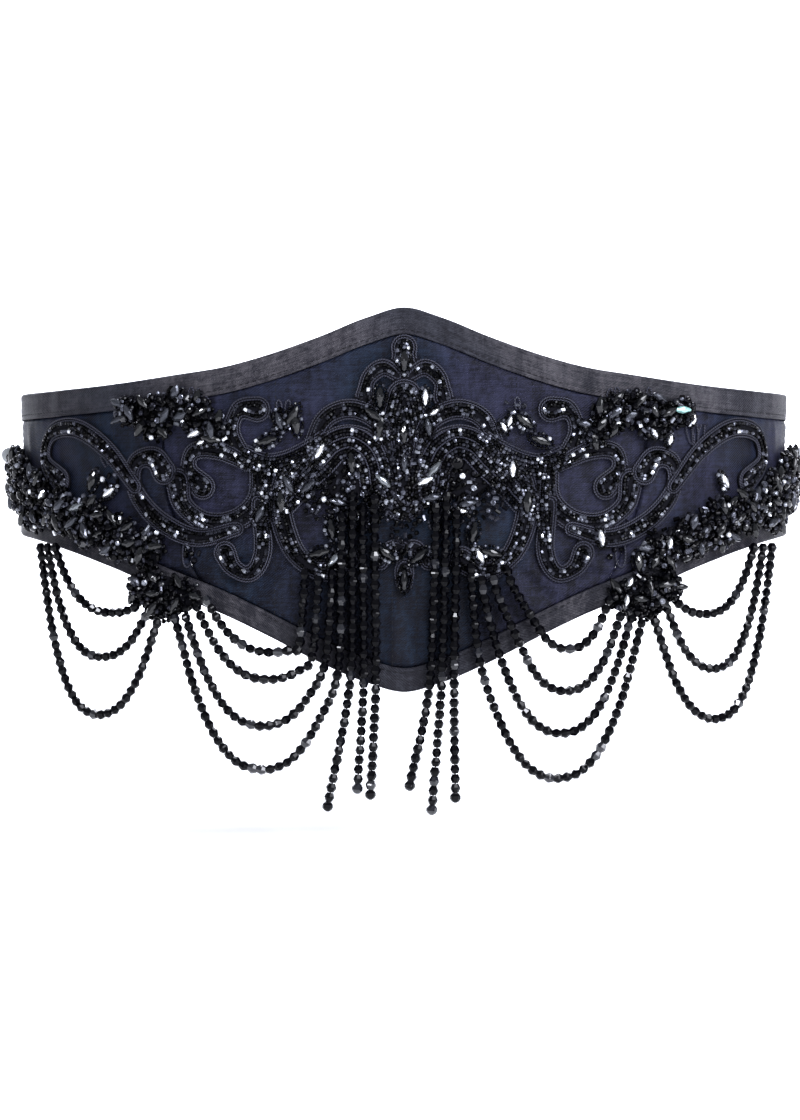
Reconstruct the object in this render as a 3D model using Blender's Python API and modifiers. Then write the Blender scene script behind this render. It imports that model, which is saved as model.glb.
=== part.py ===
"""Corset belt with pointed front, scroll applique, stone clusters and strung bead swags.

The belt is worn round a waist, so every piece is laid out flat first, by its distance round the
waist (s, from the centre front, positive to the wearer's left), its height (z) and how far it
stands off the cloth's face (out), all in millimetres. One function wraps that on the waist.
The origin is the centre of the waist ring. The front faces -Y and the wearer's left is +X.
"""

import math

import bmesh
import bpy
import numpy as np
from mathutils import Vector

MM = 0.001

# Waist ring: a rounded oval a little squarer than an ellipse, which flares above and below the waist.
WAIST_HALF_WIDTH = 134.5
WAIST_HALF_DEPTH = 95.0
WAIST_SQUARENESS = 2.35
FLARE = 3.0
FLARE_AT = 50.0

# Cloth: wall, the gap left at each seam, and how deep the two edge bands are.
WALL = 2.0
SEAM_GAP = 0.3
TOP_BAND = 9.0
BOTTOM_BAND = 8.0
PRINCESS_SEAM_TOP = 84.0
PRINCESS_SEAM_IN = 15.0
SIDE_SEAM = 177.0

# Height of the two hems, by distance from the centre front.
HEM = [
    {"s": 0, "top": 55.0, "bottom": -73.2},
    {"s": 12, "top": 51.8, "bottom": -70.2},
    {"s": 28, "top": 45.4, "bottom": -63.4},
    {"s": 44, "top": 39.8, "bottom": -55.3},
    {"s": 60, "top": 35.5, "bottom": -47.9},
    {"s": 78, "top": 32.8, "bottom": -41.3},
    {"s": 106, "top": 29.5, "bottom": -31.4},
    {"s": 130, "top": 28.0, "bottom": -25.6},
    {"s": 177, "top": 27.0, "bottom": -21.8},
    {"s": 374, "top": 26.0, "bottom": -20.0},
]

# Applique: a corded and beaded strip of this thickness, drawn on a grid of cells this wide.
LIFT = 0.3
APPLIQUE_THICK = 1.3
APPLIQUE_CELL = 3.4

# Centre medallion, one half: middle line of each scroll, its width and the width of its rolled end.
CENTRE_SCROLLS = [
    {"name": "finial", "width": 9, "end": 9, "line": [(0, 33), (0, 41.5)]},
    {"name": "shoulder", "width": 6, "end": 7, "line": [(2, 32), (7, 35), (12, 31), (13, 25)]},
    {"name": "shield", "width": 17, "end": 15, "line": [(0, 25), (0, 8), (0, -9)]},
    {"name": "volute", "width": 7, "end": 7,
     "line": [(5, 6), (8, 16), (17, 21), (26, 18), (31, 8), (34, -3)]},
    {"name": "swirl", "width": 25, "end": 25, "line": [(16.5, 3.5), (18.5, 3.5)]},
    {"name": "crescent", "width": 8, "end": 9,
     "line": [(34, 4), (40, -2), (41, -14), (36, -27), (27, -33), (19, -29)]},
    {"name": "fleur", "width": 5, "end": 6, "line": [(0, -20), (0, -26), (5, -26), (8, -31)]},
    {"name": "pendant", "width": 6, "end": 5.5, "line": [(0, -14), (0, -26), (0, -37)]},
]

# Side scrolls, laid the same way on the wearer's left and right.
SIDE_SCROLLS = [
    {"name": "upper hook", "width": 6.5, "end": 9,
     "line": [(49, 0), (55, 7), (58, 14), (55, 21), (49, 21)]},
    {"name": "middle hook", "width": 6.5, "end": 9,
     "line": [(51, 2), (62, 7), (71, 7), (73, 1), (68, -5)]},
    {"name": "crescent", "width": 8, "end": 9,
     "line": [(49, 2), (49, -9), (56, -16), (66, -17), (75, -11), (77, -3)]},
    {"name": "outer hook", "width": 7, "end": 9,
     "line": [(56, -19), (70, -22), (84, -16), (93, -6), (93, 3), (86, 5), (82, 0)]},
    {"name": "side hook", "width": 7, "end": 9,
     "line": [(93, -5), (105, 8), (119, 15), (133, 13), (137, 4), (127, -3)]},
    {"name": "lower hook", "width": 6.5, "end": 8,
     "line": [(49, -10), (47, -26), (51, -34), (57, -32), (60, -27)]},
]

# Clusters of beads and stones, one side: round heaps that run together, and the stones set in them.
CLUSTER_CELL = 4.2
CLUSTER_LOW = 1.4
CLUSTER_HIGH = 4.6
CLUSTER_STEEP = 0.7
CLUSTER_CLEAR = 0.7
CLUSTERS = {
    "upper": {
        "heaps": [(64, 15, 6), (70, 21, 8), (77, 26, 6), (85, 20, 9), (95, 23, 6)],
        "stones": [(64, 15, 40), (70, 22, 100), (78, 24, 150), (85, 17, 20), (95, 23, 70)],
    },
    "side": {
        "heaps": [(88, -26, 7), (99, -22, 8), (112, -17, 9), (126, -13.5, 8), (143, -10, 11),
                  (158, -4, 11), (172, -1, 10), (184, 1, 8)],
        "stones": [(90, -24, 10), (102, -20, 60), (113, -16, 140), (126, -13, 30), (139, -4, 50),
                   (145, -14, 160), (158, -3, 100), (172, -2, 20)],
    },
    "drop": {
        "heaps": [(74, -42, 6), (81, -42, 8), (89, -39, 6)],
        "stones": [(74, -42, 70), (82, -43, 110), (88, -37, 30)],
    },
}

# Stones: marquise cut, and where the single ones sit on the medallion (distance, height, turn).
STONE_LENGTH = 9.0
STONE_WIDTH = 4.4
STONE_RISE = 2.2
STONE_SUNK = 0.4
CENTRE_STONES = [(0, 13, 90), (0, 25, 90), (7, 21, 60), (6, 4, 25), (12, 14, 120), (27, 14, 75),
                 (41, -10, 85)]
SIDE_BEAD = {"s": 181, "z": 6, "radius": 3.0, "out": 5.4}

# Strung beads, 3 mm across. Each is sewn at its root, crosses the hem and hangs.
BEAD_RADIUS = 1.5
STRAND_OUT = 3.5
STRAND_STEP = 5.5
SAG_POWER = 2.4
TAPE_HEIGHT = 4.0
TAPE_THICK = 2.2
FRINGE_TAPE_Z = -1.0
FRINGE_ROOT = 10.8
FRINGE_PITCH = 3.7
FRINGE = {
    "right": [
        {"hem": (9.3, -71), "tip": (11.0, -107)},
        {"hem": (13.2, -69), "tip": (15.2, -105)},
        {"hem": (17.4, -68), "tip": (24.8, -111)},
        {"hem": (21.5, -66), "end": 76.0, "low": -99},
        {"hem": (25.8, -64), "end": 72.2, "low": -84.5},
        {"hem": (30.0, -62), "end": 68.4, "low": -69},
        {"hem": (34.2, -58), "end": 65.0, "low": -60},
    ],
    "left": [
        {"hem": (8.2, -71), "tip": (1.8, -104)},
        {"hem": (12.2, -69), "tip": (9.0, -112)},
        {"hem": (16.2, -68), "tip": (16.6, -108)},
        {"hem": (25.0, -65), "end": 79.0, "low": -102},
        {"hem": (31.0, -61), "end": 75.2, "low": -87},
        {"hem": (37.5, -57), "end": 71.4, "low": -73},
        {"hem": (44.5, -53), "end": 67.6, "low": -59},
    ],
}
SWAG_TAPE_Z = -26.0
SWAGS = {
    "right": [
        {"root": 126.0, "end": 91.0, "low": -47.5},
        {"root": 130.5, "end": 86.8, "low": -62.5},
        {"root": 135.0, "end": 82.6, "low": -82},
    ],
    "left": [
        {"root": 126.5, "end": 93.0, "low": -48},
        {"root": 132.0, "end": 88.4, "low": -66.5},
        {"root": 138.0, "end": 84.0, "low": -83.5},
    ],
}

# Centre-back closure: the placket lies under the edge, with room for the hooks and bars between.
PLACKET_UNDER = 22.0
PLACKET_SEWN = 26.0
PLACKET_DEEP = 5.0
PLACKET_TOP = 24.0
PLACKET_BOTTOM = -18.0
HOOK_HEIGHTS = {"upper": 15.0, "middle": 3.0, "lower": -9.0}
HOOK_THICK = 0.6
HOOK_HALF = 2.2
BAR_THICK = 0.5

MATERIALS = {
    "navy_black_satin": {"colour": (0.031, 0.033, 0.050), "roughness": 0.45, "metallic": 0.0},
    "corded_applique": {"colour": (0.020, 0.021, 0.026), "roughness": 0.55, "metallic": 0.0},
    "jet_stones": {"colour": (0.008, 0.008, 0.010), "roughness": 0.08, "metallic": 0.0},
    "jet_beads": {"colour": (0.006, 0.006, 0.007), "roughness": 0.15, "metallic": 0.0},
    "black_steel": {"colour": (0.05, 0.05, 0.055), "roughness": 0.35, "metallic": 1.0},
}

SIGN = {"right": -1, "left": 1}


# Start from an empty scene, with one collection for the belt and one for what is joined into it.

for old in list(bpy.data.objects):
    bpy.data.objects.remove(old)
belt = bpy.data.collections.new("corset_belt")
joined = bpy.data.collections.new("joined_shapes")
for collection in (belt, joined):
    bpy.context.scene.collection.children.link(collection)


# The waist

def ring_table(samples=2880):
    """Distance round the ring against the point there, once round from the centre front."""
    turn = np.linspace(0, 2 * math.pi, samples + 1)
    power = 2 / WAIST_SQUARENESS
    x = WAIST_HALF_WIDTH * np.sign(np.sin(turn)) * np.abs(np.sin(turn)) ** power
    y = -WAIST_HALF_DEPTH * np.sign(np.cos(turn)) * np.abs(np.cos(turn)) ** power
    steps = np.hypot(np.diff(x), np.diff(y))
    return np.concatenate([[0], np.cumsum(steps)]), x, y


RING_S, RING_X, RING_Y = ring_table()
ROUND = RING_S[-1]
HALF_ROUND = ROUND / 2


def on_waist(s, z, out):
    """The point at distance s and height z, standing out from the cloth's face, in metres."""
    x = np.interp(s % ROUND, RING_S, RING_X)
    y = np.interp(s % ROUND, RING_S, RING_Y)
    across = abs(x / WAIST_HALF_WIDTH) ** (WAIST_SQUARENESS - 1) / WAIST_HALF_WIDTH
    along = abs(y / WAIST_HALF_DEPTH) ** (WAIST_SQUARENESS - 1) / WAIST_HALF_DEPTH
    normal = Vector((math.copysign(across, x), math.copysign(along, y), 0)).normalized()
    flared = max(z, hem(s, "bottom"))
    reach = out + FLARE * (flared / FLARE_AT) ** 2
    return Vector((x + normal.x * reach, y + normal.y * reach, z)) * MM


def hem(s, edge):
    """Height of the top or bottom hem, smooth through the rows of the table."""
    stations = np.array([row["s"] for row in HEM], float)
    heights = np.array([row[edge] for row in HEM], float)
    slopes = np.gradient(heights, stations)
    slopes[0] = slopes[-1] = 0
    s = min(abs((s + HALF_ROUND) % ROUND - HALF_ROUND), stations[-1])
    i = min(int(np.searchsorted(stations, s, "right")) - 1, len(stations) - 2)
    width = stations[i + 1] - stations[i]
    t = (s - stations[i]) / width
    start = (1 + 2 * t) * (1 - t) ** 2 * heights[i] + t * (1 - t) ** 2 * width * slopes[i]
    finish = t * t * (3 - 2 * t) * heights[i + 1] - t * t * (1 - t) * width * slopes[i + 1]
    return start + finish


# Shared makers

def material(name):
    made = bpy.data.materials.get(name)
    if made is None:
        look = MATERIALS[name]
        made = bpy.data.materials.new(name)
        made.use_nodes = True
        shader = made.node_tree.nodes["Principled BSDF"]
        shader.inputs["Base Color"].default_value = (*look["colour"], 1)
        shader.inputs["Roughness"].default_value = look["roughness"]
        shader.inputs["Metallic"].default_value = look["metallic"]
    return made


def new_object(name, mesh, finish, collection=belt):
    """A named object in the belt, or one that only serves a union and is left out of it."""
    made = bpy.data.objects.new(name, mesh)
    if finish:
        mesh.materials.append(material(finish))
    collection.objects.link(made)
    if collection is joined:
        made.hide_render = True
        made.display_type = "WIRE"
    return made


def surface(name, places, finish):
    """An open sheet through a grid of (s, z, out) places, rows running up and columns round."""
    bm = bmesh.new()
    points = [[bm.verts.new(on_waist(*place)) for place in row] for row in places]
    for low, high in zip(points, points[1:]):
        for i in range(len(low) - 1):
            bm.faces.new((low[i], low[i + 1], high[i + 1], high[i]))
    mesh = bpy.data.meshes.new(name)
    bm.to_mesh(mesh)
    bm.free()
    return new_object(name, mesh, finish)


def thicken(piece, thickness, offset, group=""):
    wall = piece.modifiers.new("wall", "SOLIDIFY")
    wall.thickness = thickness * MM
    wall.offset = offset
    wall.vertex_group = group
    return piece


def unite(piece, shape):
    union = piece.modifiers.new("union", "BOOLEAN")
    union.operation = "UNION"
    union.solver = "EXACT"
    union.object = shape


def spread(low, high, pitch):
    """Even stations from low to high, no further apart than the pitch."""
    return np.linspace(low, high, max(2, math.ceil(abs(high - low) / pitch) + 1))


# Cloth panels

def princess_seam(v):
    """Distance of the princess seam at v, from 0 at its foot to 1 at its top: it curves in below."""
    return PRINCESS_SEAM_TOP - PRINCESS_SEAM_IN * (1 - v) ** 3


def panel(name, start, finish, columns, rows):
    """A panel between two seams, each a distance for every v, and between the two bands."""
    places = []
    for v in np.linspace(0, 1, rows + 1):
        row = []
        for c in np.linspace(0, 1, columns + 1):
            s = start(v) + (finish(v) - start(v)) * c
            low = hem(s, "bottom") + BOTTOM_BAND + SEAM_GAP / 2
            high = hem(s, "top") - TOP_BAND - SEAM_GAP / 2
            row.append((s, low + (high - low) * v, 0))
        places.append(row)
    return thicken(surface(name, places, "navy_black_satin"), WALL, -1)


def make_panels():
    half_gap = SEAM_GAP / 2
    panel("front_panel", lambda v: half_gap - princess_seam(v),
          lambda v: princess_seam(v) - half_gap, 20, 6)
    panel("side_panel_left", lambda v: princess_seam(v) + half_gap,
          lambda v: SIDE_SEAM - half_gap, 12, 6)
    panel("side_panel_right", lambda v: half_gap - SIDE_SEAM,
          lambda v: -princess_seam(v) - half_gap, 12, 6)
    panel("back_panel_left", lambda v: SIDE_SEAM + half_gap,
          lambda v: HALF_ROUND - half_gap, 20, 2)
    panel("back_panel_right", lambda v: half_gap - HALF_ROUND,
          lambda v: -SIDE_SEAM - half_gap, 20, 2)


def band(name, start, finish, edge, depth, pitch):
    """A folded band of even depth along the top or bottom hem."""
    inward = -1 if edge == "top" else 1
    inner = depth - SEAM_GAP / 2
    stations = spread(start, finish, pitch)
    rows = [[(s, hem(s, edge) + inward * inner, 0) for s in stations],
            [(s, hem(s, edge), 0) for s in stations]]
    if edge == "bottom":
        rows.reverse()
    return thicken(surface(name, rows, "navy_black_satin"), WALL, -1)


def make_bands():
    half_gap = SEAM_GAP / 2
    lengths = {
        "front": (half_gap - SIDE_SEAM, SIDE_SEAM - half_gap, 8.5),
        "back_left": (SIDE_SEAM + half_gap, HALF_ROUND - half_gap, 10.0),
        "back_right": (half_gap - HALF_ROUND, -SIDE_SEAM - half_gap, 10.0),
    }
    for where, (start, finish, pitch) in lengths.items():
        band("top_band_" + where, start, finish, "top", TOP_BAND, pitch)
        band("bottom_band_" + where, start, finish, "bottom", BOTTOM_BAND, pitch)


# Centre-back closure

def make_placket():
    """Sewn flat under one back edge, then stepped in under the other to leave room for the hooks."""
    sewn = -WALL - LIFT
    steps = [(-PLACKET_UNDER, -PLACKET_DEEP), (-8, -PLACKET_DEEP), (3, -PLACKET_DEEP),
             (9, sewn), (18, sewn), (PLACKET_SEWN, sewn)]
    places = [[(HALF_ROUND + s, z, out) for s, out in steps]
              for z in (PLACKET_BOTTOM, (PLACKET_BOTTOM + PLACKET_TOP) / 2, PLACKET_TOP)]
    thicken(surface("back_placket", places, "navy_black_satin"), WALL, -1)


def make_hooks():
    """Each hook is a plate with its tongue turned under; each bar is an arch that the tongue holds."""
    plate = -WALL - LIFT - HOOK_THICK / 2
    tongue = -PLACKET_DEEP + LIFT + HOOK_THICK / 2
    middle = (plate + tongue) / 2
    fold = [(-14, plate), (-9, plate), (-4, plate), (-3.3, middle), (-4, tongue), (-7.5, tongue)]
    foot = -PLACKET_DEEP + LIFT + BAR_THICK / 2
    arch = [(-5, foot), (-3.6, foot), (-3.3, middle), (3.3, middle), (3.6, foot), (5, foot)]
    for where, height in HOOK_HEIGHTS.items():
        rows = [[(HALF_ROUND + s, height + side * HOOK_HALF, out) for s, out in fold]
                for side in (-1, 1)]
        thicken(surface("hook_" + where, rows, "black_steel"), HOOK_THICK, 0)
        rows = [[(HALF_ROUND + s, height + z, out) for s in (-6.4, -5.4)] for z, out in arch]
        thicken(surface("bar_" + where, rows, "black_steel"), BAR_THICK, 0)


# Applique and clusters: shapes given by how far a place lies outside them, less than 0 inside

def smooth_line(points, step=1.5):
    """Points along a smooth curve through the given ones."""
    points = [np.array(p, float) for p in points]
    padded = [2 * points[0] - points[1], *points, 2 * points[-1] - points[-2]]
    line = []
    for a, b, c, d in zip(padded, padded[1:], padded[2:], padded[3:]):
        count = max(2, math.ceil(np.linalg.norm(c - b) / step))
        for t in np.arange(count) / count:
            bend = (2 * a - 5 * b + 4 * c - d) * t + (3 * b - a - 3 * c + d) * t * t
            line.append(b + ((c - a) + bend) * t / 2)
    return np.array([*line, points[-1]])


def scroll_discs(scroll):
    """A scroll as discs along its middle line, swelling into the rolled end."""
    line = smooth_line(scroll["line"])
    t = np.linspace(0, 1, len(line))
    swell = np.clip((t - 0.7) / 0.3, 0, 1)
    widths = scroll["width"] * (0.72 + 0.28 * np.sin(math.pi * np.clip(t * 1.2, 0, 1)))
    widths = widths * (1 - swell) + scroll["end"] * swell
    return np.column_stack([line, widths / 2])


def outside_discs(s, z, discs):
    return float(np.min(np.hypot(discs[:, 0] - s, discs[:, 1] - z) - discs[:, 2]))


def mirrored(discs):
    return discs * np.array([-1, 1, 1])


CENTRE_DISCS = np.concatenate([scroll_discs(scroll) for scroll in CENTRE_SCROLLS])
CENTRE_DISCS = np.concatenate([CENTRE_DISCS, mirrored(CENTRE_DISCS)])
SIDE_DISCS = np.concatenate([scroll_discs(scroll) for scroll in SIDE_SCROLLS])
HEAPS = {name: np.array(cluster["heaps"], float) for name, cluster in CLUSTERS.items()}


def outside_cluster(s, z, name):
    """The drop cluster keeps clear of the side cluster that it hangs from."""
    found = outside_discs(s, z, HEAPS[name])
    if name == "drop":
        found = max(found, CLUSTER_CLEAR - outside_discs(s, z, HEAPS["side"]))
    return found


def outside_side_applique(s, z):
    """The side scrolls stop short of the medallion and of the clusters that cover them."""
    others = [outside_discs(s, z, CENTRE_DISCS)]
    others += [outside_cluster(s, z, name) for name in ("upper", "side")]
    return max(outside_discs(s, z, SIDE_DISCS), CLUSTER_CLEAR - min(others))


def outline_faces(outside, box, cell):
    """The faces inside an outline: a grid of cells, each cut where the outline crosses its edges."""
    columns = np.arange(box[0], box[1] + cell, cell)
    rows = np.arange(box[2], box[3] + cell, cell)
    value = {(i, j): outside(s, z) for i, s in enumerate(columns) for j, z in enumerate(rows)}
    faces = []
    places = {}
    for i in range(len(columns) - 1):
        for j in range(len(rows) - 1):
            corners = [(i, j), (i + 1, j), (i + 1, j + 1), (i, j + 1)]
            face = []
            for here, there in zip(corners, corners[1:] + corners[:1]):
                if value[here] < 0:
                    places[here] = (columns[here[0]], rows[here[1]])
                    face.append(here)
                if (value[here] < 0) != (value[there] < 0):
                    a, b = sorted((here, there))
                    t = min(max(value[a] / (value[a] - value[b]), 0.15), 0.85)
                    places[a, b] = (columns[a[0]] + (columns[b[0]] - columns[a[0]]) * t,
                                    rows[a[1]] + (rows[b[1]] - rows[a[1]]) * t)
                    face.append((a, b))
            if len(face) > 2:
                faces.append(face)
    return places, faces


def relief(name, outside, box, cell, finish, side=1, rise=None):
    """A raised piece on the cloth. With a rise, a function of (s, z), its top is domed."""
    places, faces = outline_faces(outside, box, cell)
    high = CLUSTER_HIGH if rise else APPLIQUE_THICK
    bm = bmesh.new()
    points = {key: bm.verts.new(on_waist(side * s, z, LIFT)) for key, (s, z) in places.items()}
    for face in faces:
        bm.faces.new([points[key] for key in (face if side > 0 else face[::-1])])
    mesh = bpy.data.meshes.new(name)
    bm.verts.index_update()
    order = {points[key].index: place for key, place in places.items()}
    bm.to_mesh(mesh)
    bm.free()
    piece = new_object(name, mesh, finish)
    if rise:
        group = piece.vertex_groups.new(name="rise")
        for index, (s, z) in order.items():
            group.add([index], rise(s, z) / high, "REPLACE")
        return thicken(piece, high, 1, "rise")
    return thicken(piece, high, 1)


def stone(bm, s, z, turn, base):
    """A marquise stone: a six-sided cone cut off flat, drawn out to two points."""
    made = bmesh.ops.create_cone(bm, cap_ends=True, segments=6, radius1=1, radius2=0.45, depth=2)
    cos, sin = math.cos(math.radians(turn)), math.sin(math.radians(turn))
    for vert in made["verts"]:
        long = vert.co.x * STONE_LENGTH / 2
        wide = vert.co.y * STONE_WIDTH / 2
        out = base + vert.co.z * STONE_RISE / 2
        vert.co = on_waist(s + long * cos - wide * sin, z + long * sin + wide * cos, out)


def add_stones(piece, places, base, bead_side=0):
    """Stones, and the large bead at the side where it has one, made one body with the piece."""
    bm = bmesh.new()
    for s, z, turn in places:
        stone(bm, s, z, turn, base)
    if bead_side:
        bead = bmesh.ops.create_icosphere(bm, subdivisions=1, radius=SIDE_BEAD["radius"] * MM)
        centre = on_waist(bead_side * SIDE_BEAD["s"], SIDE_BEAD["z"], SIDE_BEAD["out"])
        bmesh.ops.translate(bm, verts=bead["verts"], vec=centre)
    bmesh.ops.recalc_face_normals(bm, faces=bm.faces)
    mesh = bpy.data.meshes.new(piece.name + "_stones")
    bm.to_mesh(mesh)
    bm.free()
    unite(piece, new_object(mesh.name, mesh, "", joined))


def cluster_rise(s, z, name):
    """Height of a cluster: low at its edge, and domed up to its full height inside."""
    inside = max(0, -outside_cluster(s, z, name))
    return min(CLUSTER_LOW + CLUSTER_STEEP * inside, CLUSTER_HIGH)


def make_applique():
    centre = relief("applique_centre", lambda s, z: outside_discs(s, z, CENTRE_DISCS),
                    (-51, 51, -51, 58), APPLIQUE_CELL, "corded_applique")
    places = CENTRE_STONES + [(-s, z, 180 - turn) for s, z, turn in CENTRE_STONES if s > 0]
    add_stones(centre, places, LIFT + APPLIQUE_THICK)
    for hand, side in SIGN.items():
        relief("applique_" + hand, outside_side_applique, (40, 146, -42, 30),
               APPLIQUE_CELL, "corded_applique", side)


def make_clusters():
    for name, cluster in CLUSTERS.items():
        heaps = HEAPS[name]
        box = (min(heaps[:, 0] - heaps[:, 2]) - 1, max(heaps[:, 0] + heaps[:, 2]) + 1,
               min(heaps[:, 1] - heaps[:, 2]) - 1, max(heaps[:, 1] + heaps[:, 2]) + 1)
        for hand, side in SIGN.items():
            piece = relief("cluster_%s_%s" % (name, hand), lambda s, z: outside_cluster(s, z, name),
                           box, CLUSTER_CELL, "jet_stones", side, lambda s, z: cluster_rise(s, z, name))
            places = [(side * s, z, turn if side > 0 else 180 - turn)
                      for s, z, turn in cluster["stones"]]
            add_stones(piece, places, LIFT + CLUSTER_HIGH - STONE_SUNK, side if name == "side" else 0)


# Strung beads

def drop_foot(s):
    """Height just below the drop cluster, where the swags are tied."""
    heaps = HEAPS["drop"]
    reach = np.maximum(heaps[:, 2] ** 2 - (heaps[:, 0] - s) ** 2, 0) ** 0.5
    return float(np.min(heaps[:, 1] - reach)) - BEAD_RADIUS - 2 * LIFT


def swag(start, finish, low):
    """Points of a strand that hangs between two places and has its lowest point at low."""
    pull_start = (start[1] - low) ** (1 / SAG_POWER)
    pull_finish = (finish[1] - low) ** (1 / SAG_POWER)
    middle = (start[0] * pull_finish + finish[0] * pull_start) / (pull_start + pull_finish)
    points = []
    for s in np.linspace(start[0], finish[0], 7)[1:]:
        tied = start if (s - middle) * (start[0] - middle) > 0 else finish
        rise = abs((s - middle) / (tied[0] - middle)) ** SAG_POWER
        points.append((s, low + (tied[1] - low) * rise))
    return points


def even_steps(line, step):
    """The line's points again, at even steps along it."""
    gone = np.concatenate([[0], np.cumsum(np.hypot(*np.diff(line, axis=0).T))])
    marks = spread(0, gone[-1], step)
    return np.column_stack([np.interp(marks, gone, line[:, k]) for k in (0, 1)])


def strand_bunch(name, tape, routes, side):
    """Strands of beads hung from a short tape, all one body: tape is (start, finish, height, out)."""
    curve = bpy.data.curves.new(name + "_strands", "CURVE")
    curve.dimensions = "3D"
    curve.bevel_depth = BEAD_RADIUS * MM
    curve.bevel_resolution = 0
    curve.render_resolution_u = 0
    curve.use_fill_caps = True
    for route in routes:
        line = even_steps(smooth_line(route), STRAND_STEP)
        spline = curve.splines.new("POLY")
        spline.points.add(len(line) - 1)
        for point, (s, z) in zip(spline.points, line):
            point.co = (*on_waist(side * s, z, STRAND_OUT), 1)
    strings = bpy.data.objects.new(curve.name, curve)
    joined.objects.link(strings)
    evaluated = strings.evaluated_get(bpy.context.evaluated_depsgraph_get())
    mesh = bpy.data.meshes.new_from_object(evaluated)
    bm = bmesh.new()
    bm.from_mesh(mesh)
    bmesh.ops.remove_doubles(bm, verts=bm.verts, dist=0.00001)
    bmesh.ops.recalc_face_normals(bm, faces=bm.faces)
    bm.to_mesh(mesh)
    bm.free()
    bpy.data.objects.remove(strings)
    start, finish, height, out = tape
    stations = spread(start, finish, 8.0)[::side]
    edges = (height - TAPE_HEIGHT / 2, height + TAPE_HEIGHT / 2)
    rows = [[(side * s, z, out) for s in stations] for z in edges]
    piece = thicken(surface(name, rows, "jet_beads"), TAPE_THICK, 1)
    unite(piece, new_object(mesh.name, mesh, "", joined))


def make_fringes():
    """Hung from the medallion: three loose ends, then four that swing out to the drop cluster."""
    tape_out = LIFT + APPLIQUE_THICK + LIFT
    for hand, rows in FRINGE.items():
        routes = []
        for i, row in enumerate(rows):
            root = FRINGE_ROOT + FRINGE_PITCH * i
            route = [(root, FRINGE_TAPE_Z), (root, FRINGE_TAPE_Z - 18), row["hem"]]
            if "tip" in row:
                route.append(row["tip"])
            else:
                route += swag(row["hem"], (row["end"], drop_foot(row["end"])), row["low"])
            routes.append(route)
        last = FRINGE_ROOT + FRINGE_PITCH * (len(rows) - 1)
        tape = (FRINGE_ROOT - 2.5, last + 2.5, FRINGE_TAPE_Z, tape_out)
        strand_bunch("fringe_" + hand, tape, routes, SIGN[hand])


def make_swags():
    """Hung from the hem below the side cluster, and caught up at the drop cluster."""
    for hand, rows in SWAGS.items():
        routes = []
        for row in rows:
            start = (row["root"], SWAG_TAPE_Z)
            routes.append([start, *swag(start, (row["end"], drop_foot(row["end"])), row["low"])])
        tape = (rows[0]["root"] - 2.5, rows[-1]["root"] + 2.5, SWAG_TAPE_Z, 2 * LIFT)
        strand_bunch("swags_" + hand, tape, routes, SIGN[hand])


make_panels()
make_bands()
make_placket()
make_hooks()
make_applique()
make_clusters()
make_fringes()
make_swags()
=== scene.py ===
"""Black beaded corset belt: satin cloth, corded scroll applique, jet stones and strung beads.

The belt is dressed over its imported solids, piece by piece, as it is put together. Places on it are
given by the distance round the waist from the centre front (s, positive to the wearer's left), the
height (z) and how far a thing stands off the cloth's face (out), all in millimetres.
"""
import math

import bmesh
import bpy
import numpy as np
from mathutils import Matrix, Vector


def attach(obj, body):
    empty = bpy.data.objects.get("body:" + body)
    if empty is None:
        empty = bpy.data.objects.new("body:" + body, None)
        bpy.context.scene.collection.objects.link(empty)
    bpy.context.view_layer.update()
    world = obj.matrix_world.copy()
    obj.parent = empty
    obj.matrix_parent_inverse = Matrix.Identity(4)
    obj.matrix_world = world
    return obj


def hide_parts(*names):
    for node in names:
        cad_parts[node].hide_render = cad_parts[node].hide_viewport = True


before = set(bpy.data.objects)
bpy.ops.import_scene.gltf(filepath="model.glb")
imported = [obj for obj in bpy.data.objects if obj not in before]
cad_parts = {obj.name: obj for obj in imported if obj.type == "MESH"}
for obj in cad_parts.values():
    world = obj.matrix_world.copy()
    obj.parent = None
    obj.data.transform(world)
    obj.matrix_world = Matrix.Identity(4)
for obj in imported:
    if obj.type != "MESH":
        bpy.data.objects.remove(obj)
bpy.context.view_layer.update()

# The camera stands level with the waist, straight in front, as the photograph was taken. The frame
# is 1120 tall at 0.355 mm each where the waist is widest, and the belt sits above its middle.

MM = 0.001
CAMERA_AWAY = 1.6
FRAME_TALL = 1120 * 0.355 * MM
SENSOR = 36
FRAME_MIDDLE = (-1.4 * MM, -31.2 * MM)


def in_scene(name, data):
    """A new object in the scene, at the origin."""
    made = bpy.data.objects.new(name, data)
    bpy.context.scene.collection.objects.link(made)
    return made


lens = bpy.data.cameras.new("camera")
lens.sensor_width = SENSOR
lens.lens = SENSOR * CAMERA_AWAY / FRAME_TALL
lens.shift_y = FRAME_MIDDLE[1] / FRAME_TALL
lens.clip_start = 0.05
camera = in_scene("camera", lens)
camera.location = (FRAME_MIDDLE[0], -CAMERA_AWAY, 0)
camera.rotation_euler = (math.pi / 2, 0, 0)
bpy.context.scene.camera = camera


# Materials are built from nodes, with their constants directly on the sockets. Their colours are given
# as sRGB hex codes and turned to linear light.

def linear(code):
    """The linear light of an sRGB hex code."""
    parts = [int(code[i:i + 2], 16) / 255 for i in (1, 3, 5)]
    return [c / 12.92 if c < 0.04045 else ((c + 0.055) / 1.055) ** 2.4 for c in parts] + [1]


def feed(node, **links):
    """Sets a node's inputs to values or links them from sockets. An input goes by its name, with _ for
    a space, or by i and its number."""
    for key, value in links.items():
        numbered = key[0] == "i" and key[1:].isdigit()
        socket = node.inputs[int(key[1:]) if numbered else key.replace("_", " ")]
        if isinstance(value, bpy.types.NodeSocket):
            node.id_data.links.new(value, socket)
        else:
            socket.default_value = value


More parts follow.
